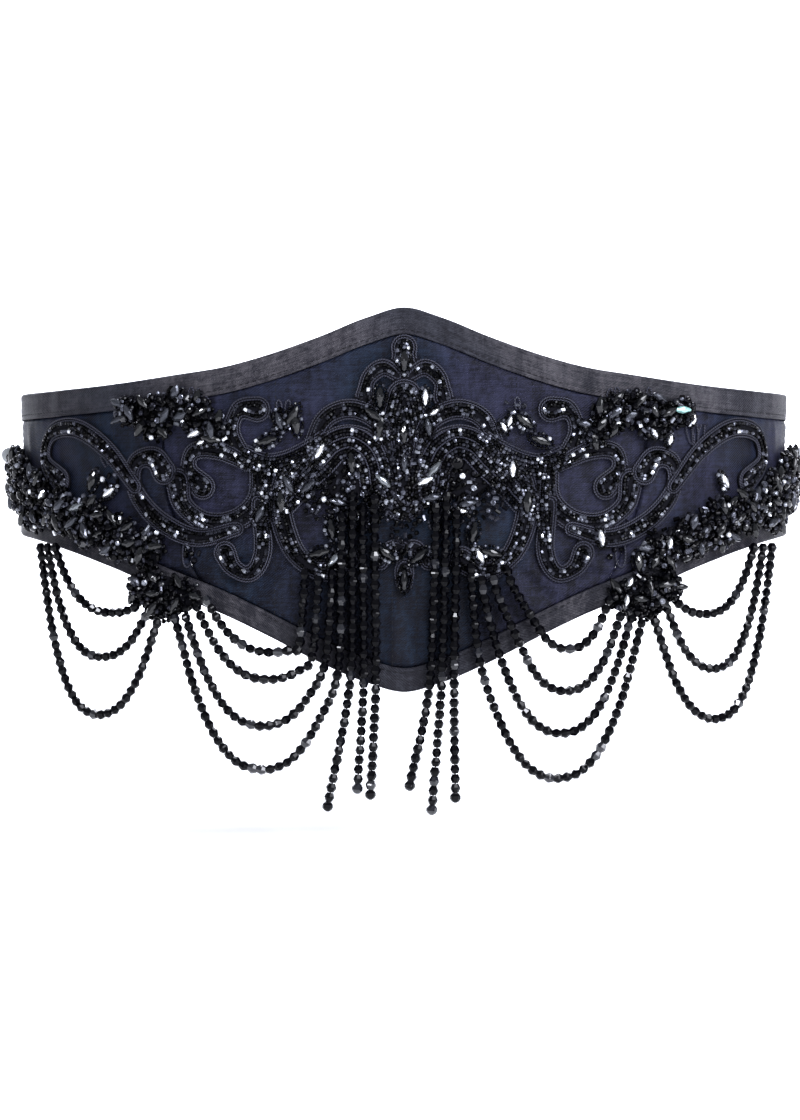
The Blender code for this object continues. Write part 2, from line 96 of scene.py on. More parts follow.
def add(tree, kind, settings=None, **links):
    """A new node with its settings made and its inputs fed."""
    node = tree.nodes.new(kind)
    for key, value in (settings or {}).items():
        setattr(node, key, value)
    feed(node, **links)
    return node


def new_material(name, **values):
    """A node material whose shader has these values on its sockets and is joined to its output."""
    made = bpy.data.materials.new(name)
    made.use_nodes = True
    tree = made.node_tree
    tree.nodes.clear()
    shader = add(tree, "ShaderNodeBsdfPrincipled", **values)
    add(tree, "ShaderNodeOutputMaterial", Surface=shader.outputs[0])
    return made, tree, shader


# The studio: a pale paper sweep under and behind the belt, a soft white surround, one large soft box
# high on the right, a narrower one beside it, a strip above and behind, and small lamps for sparkle.

FLOOR_Z = -0.128
SWEEP_BACK = 3.6
SWEEP_FRONT = -2.4
SWEEP_HALF = 3.0
SWEEP_BEND = 0.5
SWEEP_TALL = 2.4
SWEEP_STEPS = 12

sweep = bmesh.new()
profile = [(SWEEP_FRONT, FLOOR_Z)]
for k in range(SWEEP_STEPS + 1):
    turn = math.pi / 2 * k / SWEEP_STEPS
    profile.append((SWEEP_BACK + SWEEP_BEND * math.sin(turn), FLOOR_Z + SWEEP_BEND * (1 - math.cos(turn))))
profile.append((SWEEP_BACK + SWEEP_BEND, FLOOR_Z + SWEEP_TALL))
edges = [[sweep.verts.new((x, y, z)) for y, z in profile] for x in (-SWEEP_HALF, SWEEP_HALF)]
for k in range(len(profile) - 1):
    face = sweep.faces.new((edges[0][k], edges[1][k], edges[1][k + 1], edges[0][k + 1]))
    face.smooth = True
mesh = bpy.data.meshes.new("paper_sweep")
sweep.to_mesh(mesh)
sweep.free()
mesh.materials.append(new_material("matt_white_paper", Base_Color=linear("#f7f7f8"), Roughness=0.9)[0])
floor = in_scene("paper_sweep", mesh)

# Each lamp: name, place, what it aims at, width and height, and watts.
BELT = (0, 0, 0)
SOFT_BOXES = [
    ("key", (0.8, -1.6, 1.2), BELT, (0.9, 0.9), 42),
    ("fill", (1.5, -1.1, 0.6), BELT, (0.7, 1.1), 24),
    ("top", (0, 0.9, 1.5), BELT, (1.6, 0.6), 30),
    ("spark_left", (-0.7, -1.8, 0.9), BELT, (0.14, 0.14), 6),
    ("spark_right", (0.6, -1.9, 0.5), BELT, (0.14, 0.14), 6),
    ("spark_high", (0.1, -1.2, 1.5), BELT, (0.14, 0.14), 6),
    ("spark_low", (-0.9, -1.5, 0.2), BELT, (0.10, 0.10), 2.5),
    ("spark_far", (1.1, -1.6, 1.0), BELT, (0.10, 0.10), 2.5),
    ("paper_light", (0, 2.3, 2.0), (0, 4.0, 0.2), (3.6, 0.8), 260),
]
LAMP_COLOUR = linear("#f4f6ff")[:3]
for name, at, aim, box, watts in SOFT_BOXES:
    lamp = bpy.data.lights.new(name, "AREA")
    lamp.shape = "RECTANGLE"
    lamp.size, lamp.size_y = box
    lamp.energy = watts
    lamp.color = LAMP_COLOUR
    light = in_scene(name, lamp)
    light.location = at
    light.rotation_euler = (Vector(aim) - Vector(at)).to_track_quat("-Z", "Y").to_euler()

world = bpy.data.worlds.new("studio_surround")
world.use_nodes = True
surround = world.node_tree.nodes["Background"]
surround.inputs["Color"].default_value = linear("#e4e7f0")
surround.inputs["Strength"].default_value = 0.6
bpy.context.scene.world = world
bpy.context.scene.view_settings.view_transform = "Standard"


# Cloth panels: black-navy satin twill over a firm interlining, cut in five panels and sewn edge to
# edge. The wall is 1.9 mm. The panels dip into their seams, and the stitching draws up soft creases.

WAIST_HALF_WIDTH = 134.5
WAIST_HALF_DEPTH = 95.0
WAIST_SQUARENESS = 2.35
FLARE = 3.0
FLARE_AT = 50.0
CLOTH_WALL = 1.9
TOP_BAND = 9.0
BOTTOM_BAND = 8.0
PRINCESS_SEAM_TOP = 84.0
PRINCESS_SEAM_IN = 15.0
SIDE_SEAM = 177.0
BACK_GAP = 0.2
UNDER_BAND = 0.2
PANEL_PITCH = 1.5
SEAM_DIP = 0.7
SEAM_REACH = 0.8
BAND_REACH = 0.9
FRONT_ROWS = 74
HEM = {
    "s": (0, 12, 28, 44, 60, 78, 106, 130, 177, 374),
    "top": (55.0, 51.8, 45.4, 39.8, 35.5, 32.8, 29.5, 28.0, 27.0, 26.0),
    "bottom": (-73.2, -70.2, -63.4, -55.3, -47.9, -41.3, -31.4, -25.6, -21.8, -20.0),
}


def ring_table(samples=5760):
    """Distance round the waist against the point there, once round from the centre front."""
    turn = np.linspace(0, 2 * math.pi, samples + 1)
    power = 2 / WAIST_SQUARENESS
    x = WAIST_HALF_WIDTH * np.sign(np.sin(turn)) * np.abs(np.sin(turn)) ** power
    y = -WAIST_HALF_DEPTH * np.sign(np.cos(turn)) * np.abs(np.cos(turn)) ** power
    return np.concatenate([[0], np.cumsum(np.hypot(np.diff(x), np.diff(y)))]), x, y


RING_S, RING_X, RING_Y = ring_table()
ROUND = RING_S[-1]
HALF_ROUND = ROUND / 2


def hem(s, edge):
    """Height of the top or bottom hem at each distance, smooth through the table's stations."""
    stations = np.array(HEM["s"], float)
    heights = np.array(HEM[edge], float)
    slopes = np.gradient(heights, stations)
    slopes[0] = slopes[-1] = 0
    s = np.minimum(np.abs((np.asarray(s, float) + HALF_ROUND) % ROUND - HALF_ROUND), stations[-1])
    i = np.clip(np.searchsorted(stations, s, "right") - 1, 0, len(stations) - 2)
    width = stations[i + 1] - stations[i]
    t = (s - stations[i]) / width
    start = (1 + 2 * t) * (1 - t) ** 2 * heights[i] + t * (1 - t) ** 2 * width * slopes[i]
    finish = t * t * (3 - 2 * t) * heights[i + 1] - t * t * (1 - t) * width * slopes[i + 1]
    return start + finish


def on_waist(s, z, out):
    """Points in metres, one for each distance, height and stand-off."""
    s, z, out = np.broadcast_arrays(np.asarray(s, float), np.asarray(z, float), np.asarray(out, float))
    x = np.interp(s % ROUND, RING_S, RING_X)
    y = np.interp(s % ROUND, RING_S, RING_Y)
    across = np.sign(x) * np.abs(x / WAIST_HALF_WIDTH) ** (WAIST_SQUARENESS - 1) / WAIST_HALF_WIDTH
    along = np.sign(y) * np.abs(y / WAIST_HALF_DEPTH) ** (WAIST_SQUARENESS - 1) / WAIST_HALF_DEPTH
    size = np.hypot(across, along)
    reach = out + FLARE * (np.maximum(z, hem(s, "bottom")) / FLARE_AT) ** 2
    return np.stack([x + across / size * reach, y + along / size * reach, z], -1) * MM


# Creases in the cloth: middle (s, z), length, width, turn in degrees, and depth, less than 0 for a trough.
CREASES = [
    (-68, -33, 34, 2.6, 24, 0.55), (-62, -38, 26, 2.0, 30, -0.5), (-76, -30, 22, 2.2, 12, 0.4),
    (-56, -30, 20, 2.4, 62, -0.45), (-46, -44, 26, 2.2, 48, 0.5), (-40, -50, 20, 1.8, 55, -0.45),
    (-36, -40, 22, 2.0, 78, 0.45), (-24, -52, 26, 1.9, 84, 0.5), (-17, -56, 22, 1.6, 92, -0.45),
    (-3, -52, 24, 1.6, 80, 0.4), (3, -60, 18, 1.3, 96, -0.4), (16, -50, 28, 1.8, 100, 0.5),
    (22, -46, 26, 1.6, 106, -0.5), (28, -48, 26, 1.8, 112, 0.55), (34, -44, 24, 1.6, 116, -0.5),
    (40, -42, 22, 1.8, 120, 0.5), (-50, -38, 30, 1.6, 35, -0.45), (-58, -28, 26, 1.4, 28, 0.4),
    (-31, -46, 26, 1.4, 70, -0.5), (-12, -60, 20, 1.3, 86, 0.4), (8, -60, 22, 1.2, 92, 0.45),
    (12, -58, 22, 1.2, 97, -0.4), (46, -40, 26, 1.5, 128, -0.5), (56, -36, 24, 1.4, 146, 0.45),
    (66, -28, 24, 1.5, 150, -0.4), (50, -38, 26, 2.4, 140, 0.45), (60, -33, 30, 2.4, 152, -0.4),
    (70, -32, 24, 2.2, 160, 0.4), (-30, 34, 40, 3.2, 22, 0.3), (32, 33, 42, 3.4, 158, 0.35),
    (-52, 27, 26, 2.6, 16, -0.3), (52, 28, 26, 2.6, 166, -0.3), (58, 3, 18, 3.0, 70, 0.3),
    (-62, -3, 18, 3.0, 110, 0.3), (110, 2, 26, 3.0, 60, -0.35), (-112, 3, 26, 3.0, 118, -0.35),
    (150, 8, 22, 3.2, 82, 0.35), (-152, 6, 22, 3.0, 96, 0.35), (168, -4, 24, 2.4, 90, -0.3),
    (205, 4, 30, 3.5, 60, 0.4), (222, 8, 26, 3.0, 74, -0.35), (262, 0, 34, 3.6, 116, 0.4),
    (300, 5, 30, 3.2, 84, -0.4), (330, 2, 26, 3.0, 70, 0.35), (352, 6, 24, 2.6, 96, 0.35),
    (-204, 5, 30, 3.4, 122, 0.4), (-240, 2, 32, 3.4, 70, -0.35), (-276, 6, 28, 3.2, 60, 0.4),
    (-312, 1, 32, 3.4, 108, 0.35), (-346, 5, 24, 2.8, 86, -0.35),
]


def crease_height(s, z):
    """How far the creases lift or sink the cloth."""
    s = (s + HALF_ROUND) % ROUND - HALF_ROUND
    height = 0.12 * np.sin(s / 9.0 + 1.3 * np.sin(z / 11.0)) + 0.10 * np.sin(z / 6.0 + s / 17.0)
    for middle_s, middle_z, length, width, turn, depth in CREASES:
        cos, sin = math.cos(math.radians(turn)), math.sin(math.radians(turn))
        along = (s - middle_s) * cos + (z - middle_z) * sin
        across = -(s - middle_s) * sin + (z - middle_z) * cos
        bend = across - 1.2 * np.sin(along / length * 3)
        height += 1.7 * depth * np.exp(-(bend / width) ** 2 - (2 * along / length) ** 4)
    return height


def seam_dip(distance, reach):
    """How far the cloth sinks at this distance from a seam."""
    return -SEAM_DIP * np.exp(-(np.maximum(distance, 0) / reach) ** 2)


def mesh_of(name, points, faces, flat, material):
    """A surface at the origin, shaded smooth, with its flat layout in millimetres as its UV map."""
    made = bpy.data.meshes.new(name)
    made.from_pydata(points.tolist(), [], faces)
    layer = made.uv_layers.new(name="flat_mm")
    corner = np.empty(len(made.loops), int)
    made.loops.foreach_get("vertex_index", corner)
    layer.data.foreach_set("uv", flat[corner].ravel())
    made.shade_smooth()
    made.materials.append(material)
    return in_scene(name, made)


def thicken(piece, thickness):
    """Gives a surface its wall, behind the face that shows."""
    wall = piece.modifiers.new("wall", "SOLIDIFY")
    wall.thickness = thickness * MM
    wall.offset = -1


def grid_faces(rows, columns, flip=False):
    """Quads of a grid whose points run along the columns first."""
    i, j = np.meshgrid(np.arange(rows - 1), np.arange(columns - 1), indexing="ij")
    a = i * columns + j
    quads = np.stack([a, a + 1, a + 1 + columns, a + columns], -1).reshape(-1, 4)
    return (quads[:, ::-1] if flip else quads).tolist()


def cloth_of(name, s, z, out, flat, wall, material, flip=False):
    """Cloth over a grid of places, with a wall behind it. Its flat layout is given for each place."""
    piece = mesh_of(name + "_cloth", on_waist(s, z, out).reshape(-1, 3), grid_faces(*s.shape, flip=flip),
                    np.stack([each.ravel() for each in flat], -1), material)
    thicken(piece, wall)
    return piece


def princess_seam(v):
    """Distance to the seam beside the front panel, v of the way up it."""
    return PRINCESS_SEAM_TOP - PRINCESS_SEAM_IN * (1 - v) ** 3


def calc(tree, operation, *values):
    """The result of a sum on values or sockets."""
    given = {"i%d" % k: value for k, value in enumerate(values)}
    return add(tree, "ShaderNodeMath", {"operation": operation}, **given).outputs[0]


def ranged(tree, value, low, high, first=0.0, last=1.0):
    """A socket's value from low to high, turned to one from first to last."""
    return add(tree, "ShaderNodeMapRange", Value=value, i1=low, i2=high, i3=first, i4=last).outputs[0]


def blend(tree, factor, low, high, how="MIX"):
    """A colour between two, each a hex code or a socket."""
    low, high = (linear(end) if isinstance(end, str) else end for end in (low, high))
    return add(tree, "ShaderNodeMix", {"data_type": "RGBA", "blend_type": how}, Factor=factor,
               A=low, B=high).outputs["Result"]


def roughen(shader, height, strength, distance):
    """Gives a shader relief that is too fine to model."""
    feed(shader, Normal=add(shader.id_data, "ShaderNodeBump", Strength=strength, Distance=distance,
                            Height=height).outputs[0])


def own(tree, name):
    """What a mesh says of each of its points under this name."""
    return add(tree, "ShaderNodeAttribute", {"attribute_name": name}).outputs["Fac"]


def satin(name, light, dark, tint):
    """Satin-faced twill, woven of fine black-navy thread, so it shines softly across the weave. Its
    colour is painted paler towards the top, a painted light, over mottling and streaks in the weave.
    The twill lines are drawn 0.7 mm apart, coarser than the real thread. It has a tint in places,
    most of all down the middle of the front."""
    made, tree, shader = new_material(name, Sheen_Weight=0.02, Sheen_Roughness=0.4,
                                      Sheen_Tint=linear("#6a6d88"), Specular_IOR_Level=0.10)
    place = add(tree, "ShaderNodeUVMap", {"uv_map": "flat_mm"}).outputs[0]
    across, height, _ = add(tree, "ShaderNodeSeparateXYZ", Vector=place).outputs

    def noise(scale, detail, rough=0.5, stretch=(1, 1, 1), shift=(0, 0, 0)):
        spot = add(tree, "ShaderNodeMapping", Vector=place, Location=shift, Scale=stretch).outputs[0]
        return add(tree, "ShaderNodeTexNoise", Vector=spot, Scale=scale, Detail=detail,
                   Roughness=rough).outputs[0]

    turned = add(tree, "ShaderNodeMapping", Vector=place, Rotation=(0, 0, math.radians(52))).outputs[0]
    twill = add(tree, "ShaderNodeTexWave", {"wave_profile": "SIN"}, Vector=turned, Scale=0.45,
                Distortion=1.2, Detail=2.0, Detail_Scale=1.5).outputs["Fac"]
    slub = noise(1.0, 5.0, 0.8, stretch=(0.10, 1.5, 1))
    mottle = noise(0.55, 6.0, 0.9)
    streak = noise(1.0, 4.0, 0.7, stretch=(0.17, 0.035, 1))
    wear_and_painted_top_light = noise(0.035, 3.0, 0.6)
    # The height term paints the cloth paler towards the top, a painted light; the other terms are mottling,
    # streaks and slubs.
    for part, weight in ((mottle, 3.0), (streak, 2.2), (slub, 2.4), (height, 0.003)):
        wear_and_painted_top_light = calc(tree, "MULTIPLY_ADD", part, weight, wear_and_painted_top_light)
    middle = ranged(tree, calc(tree, "ABSOLUTE", across), 8.0, 34.0, 0.15, 0.0)
    washed = calc(tree, "ADD", noise(0.018, 2.0, shift=(61, 17, 0)), middle)
    shade = blend(tree, ranged(tree, washed, 0.47, 0.66), light, tint)
    feed(shader, Base_Color=blend(tree, ranged(tree, wear_and_painted_top_light, 3.88, 4.92), dark, shade),
         Roughness=ranged(tree, slub, 0.3, 0.7, 0.40, 0.56))
    roughen(shader, calc(tree, "MULTIPLY_ADD", twill, 0.5, slub), 0.6, 0.0004)
    return made


body_satin = satin("black_navy_satin", "#232436", "#06060e", "#162130")
# The bands' satin is the panels' satin painted lighter and greyer, a painted sheen on the folded bands.
band_satin_painted_sheen = satin("black_navy_satin_painted_sheen", "#424044", "#15151b", "#303138")


def cloth_panel(name, start, finish):
    """A panel between two seams, each a distance for every v, from its lower band to its upper one."""
    v = np.linspace(0, 1, 60)
    wide = int(np.mean(finish(v) - start(v)) / PANEL_PITCH)
    tall = hem(start(0.5), "top") - hem(start(0.5), "bottom")
    rows = FRONT_ROWS if name == "front_panel" else int(tall / PANEL_PITCH)
    c, v = np.meshgrid(np.linspace(0, 1, wide + 1), np.linspace(0, 1, rows + 1))
    s = start(v) + (finish(v) - start(v)) * c
    low = hem(s, "bottom") + BOTTOM_BAND - UNDER_BAND
    high = hem(s, "top") - TOP_BAND + UNDER_BAND
    z = low + (high - low) * v
    from_band = np.minimum(z - low, high - z)
    out = crease_height(s, z) * np.clip(from_band / 4, 0.15, 1)
    out += seam_dip(from_band, BAND_REACH)
    out += seam_dip(np.minimum(s - start(v), finish(v) - s), SEAM_REACH)
    out += 0.10 * np.sin(s * 1.15) * np.exp(-from_band / 3.5)
    piece = cloth_of(name, s, z, out - 0.05, (s, z), CLOTH_WALL, body_satin)
    area = float(np.mean((finish(v) - start(v)) * (high - low)))
    return piece, (float(np.max(s) - np.min(s)), float(np.max(high) - np.min(low))), area


PANELS = [
    ("front_panel", lambda v: -princess_seam(v), lambda v: princess_seam(v)),
    ("side_panel_left", lambda v: princess_seam(v), lambda v: SIDE_SEAM + 0 * v),
    ("side_panel_right", lambda v: -SIDE_SEAM + 0 * v, lambda v: -princess_seam(v)),
    ("back_panel_left", lambda v: SIDE_SEAM + 0 * v, lambda v: HALF_ROUND - BACK_GAP + 0 * v),
    ("back_panel_right", lambda v: BACK_GAP - HALF_ROUND + 0 * v, lambda v: -SIDE_SEAM + 0 * v),
]
for node, start, finish in PANELS:
    piece, flat, area = cloth_panel(node, start, finish)
    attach(piece, "root")
    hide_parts(node)


# Edge bands: a bias strip of the same satin folded over each hem and stitched down, its colour
# painted lighter and greyer than the panels' as a painted sheen. Its section is a rounded fold 2.2 mm
# thick, so it ends in a soft edge. The three lengths meet at the side seams.

BAND_THICK = 2.2
BAND_FOLD = 1.0
BAND_SEAM_ROUND = 0.35
BAND_CLOTH = 0.45
BAND_LIFT = 0.25
BAND_PITCH = 1.6
BAND_GAP = 0.03
BACK_BAND_GAP = 0.3
BOTTOM_CUT = -90.0


def band_section(depth):
    """The fold's section as (stand-off, distance in from the hem), from the seam over the fold and back."""
    points = []
    corners = [
        (-BAND_SEAM_ROUND, depth - BAND_SEAM_ROUND, BAND_SEAM_ROUND, 90, 0),
        (-BAND_FOLD, BAND_FOLD, BAND_FOLD, 0, -90),
        (BAND_FOLD - BAND_THICK, BAND_FOLD, BAND_FOLD, -90, -180),
        (BAND_SEAM_ROUND - BAND_THICK, depth - BAND_SEAM_ROUND, BAND_SEAM_ROUND, 180, 90),
    ]
    for index, (out, into, radius, first, last) in enumerate(corners):
        for turn in np.radians(np.linspace(first, last, 5)):
            points.append((out + radius * math.cos(turn), into + radius * math.sin(turn)))
        if index in (0, 2):
            side = 0.0 if index == 0 else -BAND_THICK
            for part in np.linspace(into, corners[index + 1][1], 8)[1:-1]:
                points.append((side, part))
    return np.array(points)


def cloth_band(name, start, finish, edge, depth):
    """A band along one hem. It waves a little, and the stitching near its seam pulls it in."""
    section = band_section(depth)
    stations = np.linspace(start, finish, round((finish - start) / BAND_PITCH) + 1)
    s = np.repeat(stations[:, None], len(section), 1)
    out, into = section[:, 0], section[:, 1]
    z = hem(s, edge) + (-into if edge == "top" else into)
    outer = np.clip((out + BAND_THICK) / BAND_THICK, 0, 1)
    wave = 0.16 * np.sin(s / 7.0 + z / 5.0) + 0.10 * np.sin(s / 2.9 + 1.0)
    pull = 0.22 * np.exp(-((into - (depth - 1.6)) / 0.6) ** 2)
    pull -= 0.18 * np.exp(-((into - depth + 3) / 1.6) ** 2)
    lifted = out + BAND_LIFT + outer * (wave - pull)
    run = np.concatenate([[0], np.cumsum(np.hypot(*np.diff(section, axis=0).T))])
    across = run + (0 if edge == "top" else BOTTOM_CUT) + 0 * s
    return cloth_of(name, s, z, lifted, (s, across), BAND_CLOTH, band_satin_painted_sheen, flip=edge == "top")


BAND_LENGTHS = [
    ("front", BAND_GAP - SIDE_SEAM, SIDE_SEAM - BAND_GAP),
    ("back_left", SIDE_SEAM + BAND_GAP, HALF_ROUND - BACK_BAND_GAP),
    ("back_right", BACK_BAND_GAP - HALF_ROUND, -SIDE_SEAM - BAND_GAP),
]
for edge, depth in (("top", TOP_BAND), ("bottom", BOTTOM_BAND)):
    for where, start, finish in BAND_LENGTHS:
        node = "%s_band_%s" % (edge, where)
        piece = cloth_band(node, start, finish, edge, depth)
        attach(piece, "root")
        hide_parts(node)


# Back placket: a flat underlap of the same cloth, sewn under one back edge and stepped in under the
# other, with the flat hooks and their bars in black enamelled steel between the two.

PLACKET_STEPS = [(-22, -5.0), (-15, -5.0), (-8, -5.0), (-4, -5.0), (0, -5.0), (3, -5.0), (5, -4.1),
                 (7, -3.0), (9, -2.3), (14, -2.3), (20, -2.3), (26, -2.3)]
PLACKET_LOW = -18.0
PLACKET_HIGH = 24.0

steps = np.array(PLACKET_STEPS)
rows = np.linspace(PLACKET_LOW, PLACKET_HIGH, 24)
s, z = np.meshgrid(HALF_ROUND + steps[:, 0], rows)
piece = cloth_of("back_placket", s, z, steps[:, 1] + 0 * z, (s, z), CLOTH_WALL, body_satin)
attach(piece, "root")
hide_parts("back_placket")

enamel, tree, shader = new_material("black_enamelled_steel", Metallic=0.9, Roughness=0.32)
rub = add(tree, "ShaderNodeTexNoise", Vector=add(tree, "ShaderNodeTexCoord").outputs["Object"],
          Scale=900.0, Detail=3.0).outputs[0]
feed(shader, Base_Color=blend(tree, ranged(tree, rub, 0.60, 0.72), "#1d1d20", "#6c6d70"))
for node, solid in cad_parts.items():
    if node.startswith(("hook_", "bar_")):
        solid.data.materials.clear()
        solid.data.materials.append(enamel)


# Topstitching: rows of polyester thread, one along each band just inside its seam, two up each bone
# channel, one beside each side seam and two up each back edge. Each stitch is a small pillow sunk at
# both ends, 2.3 mm from the next.

STITCH_PITCH = 2.3
STITCH_LONG = 1.5
STITCH_THICK = 0.24
TOP_ROW_IN = 7.4
BOTTOM_ROW_IN = 6.4
STITCH_LINE_STEP = 1.5
STITCH_ON_BAND = 0.30
STITCH_SUNK = 0.02
BONE_CHANNELS = [(-4.0, 4.0), (-43.0, -37.5), (37.5, 43.0), (-108.0, -102.5), (102.5, 108.0),
                 (214.0, 219.5), (-219.5, -214.0), (282.0, 287.5), (-287.5, -282.0), (346.0, 351.5),
                 (-351.5, -346.0)]
SEAM_ROWS = [SIDE_SEAM - 2.2, 2.2 - SIDE_SEAM, HALF_ROUND - 4, 4 - HALF_ROUND, HALF_ROUND - 7,
             7 - HALF_ROUND]


def line_object(name, lines):
    """A curve with one straight-sided spline for each line of points in metres."""
    curve = bpy.data.curves.new(name, "CURVE")
    curve.dimensions = "3D"
    for line in lines:
        spline = curve.splines.new("POLY")
        spline.points.add(len(line) - 1)
        spline.points.foreach_set("co", np.column_stack([line, np.ones(len(line))]).ravel())
    return in_scene(name, curve)


def sockets(tree, **inputs):
    """Gives a node tree its named inputs and one geometry output, and returns the input node."""
    for name, kind in inputs.items():
        tree.interface.new_socket(name, in_out="INPUT", socket_type="NodeSocket" + kind)
    tree.interface.new_socket("Geometry", in_out="OUTPUT", socket_type="NodeSocketGeometry")
    return add(tree, "NodeGroupInput").outputs


def chance(tree, low, high, seed):
    """A random number for each point."""
    return add(tree, "FunctionNodeRandomValue", i2=low, i3=high, Seed=seed).outputs[1]


def placed(tree, given, points, facing, thing, sizes, seeds, pick=False):
    """Puts a thing on each point, leaned, rolled and sized at random within its limits. Each keeps a
    tone from 0 to 1 for its material. The seeds are for its second lean and its tone."""
    back = calc(tree, "MULTIPLY", given["Tilt"], -1.0)
    turn = add(tree, "ShaderNodeCombineXYZ", X=chance(tree, back, given["Tilt"], given["Seed"]),
               Y=chance(tree, back, given["Tilt"], seeds[0]),
               Z=chance(tree, 0.0, math.tau, given["Seed"])).outputs[0]
    turned = add(tree, "FunctionNodeRotateRotation", {"rotation_space": "LOCAL"}, Rotation=facing,
                 Rotate_By=add(tree, "FunctionNodeEulerToRotation", Euler=turn).outputs[0]).outputs[0]
    things = add(tree, "GeometryNodeInstanceOnPoints", Points=points, Instance=thing, Pick_Instance=pick,
                 Rotation=turned, Scale=chance(tree, *sizes, given["Seed"])).outputs[0]
    toned = add(tree, "GeometryNodeStoreNamedAttribute", {"domain": "INSTANCE"}, Geometry=things,
                Name="tone", Value=chance(tree, 0.0, 1.0, seeds[1])).outputs[0]
    finished(tree, toned, given["Finish"])


def finished(tree, shapes, finish):
    """Makes the copies real, gives them their material and sends them out of the tree."""
    real = add(tree, "GeometryNodeRealizeInstances", Geometry=shapes).outputs[0]
    dressed = add(tree, "GeometryNodeSetMaterial", Geometry=real, Material=finish).outputs[0]
    add(tree, "NodeGroupOutput", Geometry=dressed)


def strung_tree():
    """One thing again and again along a line: its long axis follows the line."""
    tree = bpy.data.node_groups.new("strung_along_line", "GeometryNodeTree")
    given = sockets(tree, Line="Geometry", Thing="Object", Pitch="Float", Uneven="Float", Tilt="Float",
                    Seed="Int", Finish="Material")
    points = add(tree, "GeometryNodeCurveToPoints", {"mode": "LENGTH"}, Curve=given["Line"],
                 Length=given["Pitch"]).outputs
    facing = add(tree, "FunctionNodeAlignRotationToVector", {"axis": "Z"}, Vector=points["Tangent"])
    thing = add(tree, "GeometryNodeObjectInfo", Object=given["Thing"]).outputs["Geometry"]
    sizes = [calc(tree, operation, 1.0, given["Uneven"]) for operation in ("SUBTRACT", "ADD")]
    placed(tree, given, points["Points"], facing.outputs[0], thing, sizes, [given["Seed"]] * 2)
    return tree


def grow(source, tree, name, **values):
    """Runs a tree on an object with these inputs, and gives back its result as a plain mesh object."""
    node = source.modifiers.new(name, "NODES")
    node.node_group = tree
    for item in tree.interface.items_tree:
        if item.in_out == "INPUT" and item.name in values:
            node[item.identifier] = values[item.name]
    source.update_tag()
    bpy.context.view_layer.update()
    graph = bpy.context.evaluated_depsgraph_get()
    made = bpy.data.meshes.new_from_object(source.evaluated_get(graph), preserve_all_data_layers=True,
                                           depsgraph=graph)
    made.name = name
    bpy.data.objects.remove(source)
    return in_scene(name, made)


def shape_object(name, rings, sides, round_it=False):
    """A small turned shape with flat facets: rings are (height, radius) in millimetres up its axis."""
    bm = bmesh.new()
    loops = []
    for height, radius in rings:
        turns = [math.tau * i / sides for i in range(sides)]
        loops.append([bm.verts.new((radius * MM * math.cos(a), radius * MM * math.sin(a), height * MM))
                      for a in turns])
    for low, high in zip(loops, loops[1:]):
        for i in range(sides):
            bm.faces.new((low[i], low[(i + 1) % sides], high[(i + 1) % sides], high[i]))
    bm.faces.new(loops[0][::-1])
    bm.faces.new(loops[-1])
    mesh = bpy.data.meshes.new(name)
    bm.to_mesh(mesh)
    bm.free()
    if round_it:
        mesh.shade_smooth()
    return in_scene(name, mesh)


def put_away(*shapes):
    """A shape that was only copied is removed once its copies are real."""
    for shape in shapes:
        bpy.data.objects.remove(shape)


strung = strung_tree()
half = STITCH_LONG / 2
stitch = shape_object("stitch", [(-half, 0.06), (-half * 0.7, STITCH_THICK * 0.42), (0, STITCH_THICK / 2),
                                 (half * 0.7, STITCH_THICK * 0.42), (half, 0.06)], 6, round_it=True)
rows = []
for edge, into in (("top", -TOP_ROW_IN), ("bottom", BOTTOM_ROW_IN)):
    for side in (1, -1):
        s = side * np.arange(0.5, HALF_ROUND - 2, STITCH_LINE_STEP)
        rows.append(on_waist(s, hem(s, edge) + into, STITCH_ON_BAND))
for s in [s for pair in BONE_CHANNELS for s in pair] + SEAM_ROWS:
    z = np.arange(hem(s, "bottom") + BOTTOM_BAND + 1, hem(s, "top") - TOP_BAND - 1, STITCH_LINE_STEP)
    rows.append(on_waist(s, z, crease_height(s, z) - STITCH_SUNK))

thread, tree, shader = new_material("black_polyester_thread", Base_Color=linear("#08080c"), Roughness=0.6,
                                    Specular_IOR_Level=0.2)
place = add(tree, "ShaderNodeTexCoord").outputs["Object"]
ply = add(tree, "ShaderNodeTexWave", Vector=place, Scale=2600.0, Distortion=3.0).outputs["Fac"]
roughen(shader, ply, 0.4, 0.0001)

stitches = grow(line_object("stitch_rows", rows), strung, "topstitching", Thing=stitch,
                Pitch=STITCH_PITCH * MM, Uneven=0.08, Tilt=0.05, Seed=11, Finish=thread)
put_away(stitch)
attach(stitches, "root")


# Strung beads: 3.4 mm faceted glass bicones on thread, 3.1 mm apart, hung below the medallion and at
# the sides. Four strands on each side of the medallion swing out to the drop cluster at the hem, three
# hang free and end in a round bead, and three more make the swags at the side.

BEAD = 3.4
BEAD_PITCH = 3.1
STRAND_OUT = 3.5
STRING_RADIUS = 0.3
END_BALL_DROP = 2.6
SAG_POWER = 2.4
# Longer than the line of a single bead, so that one is strung on it.
ONE_PITCH = 5.0
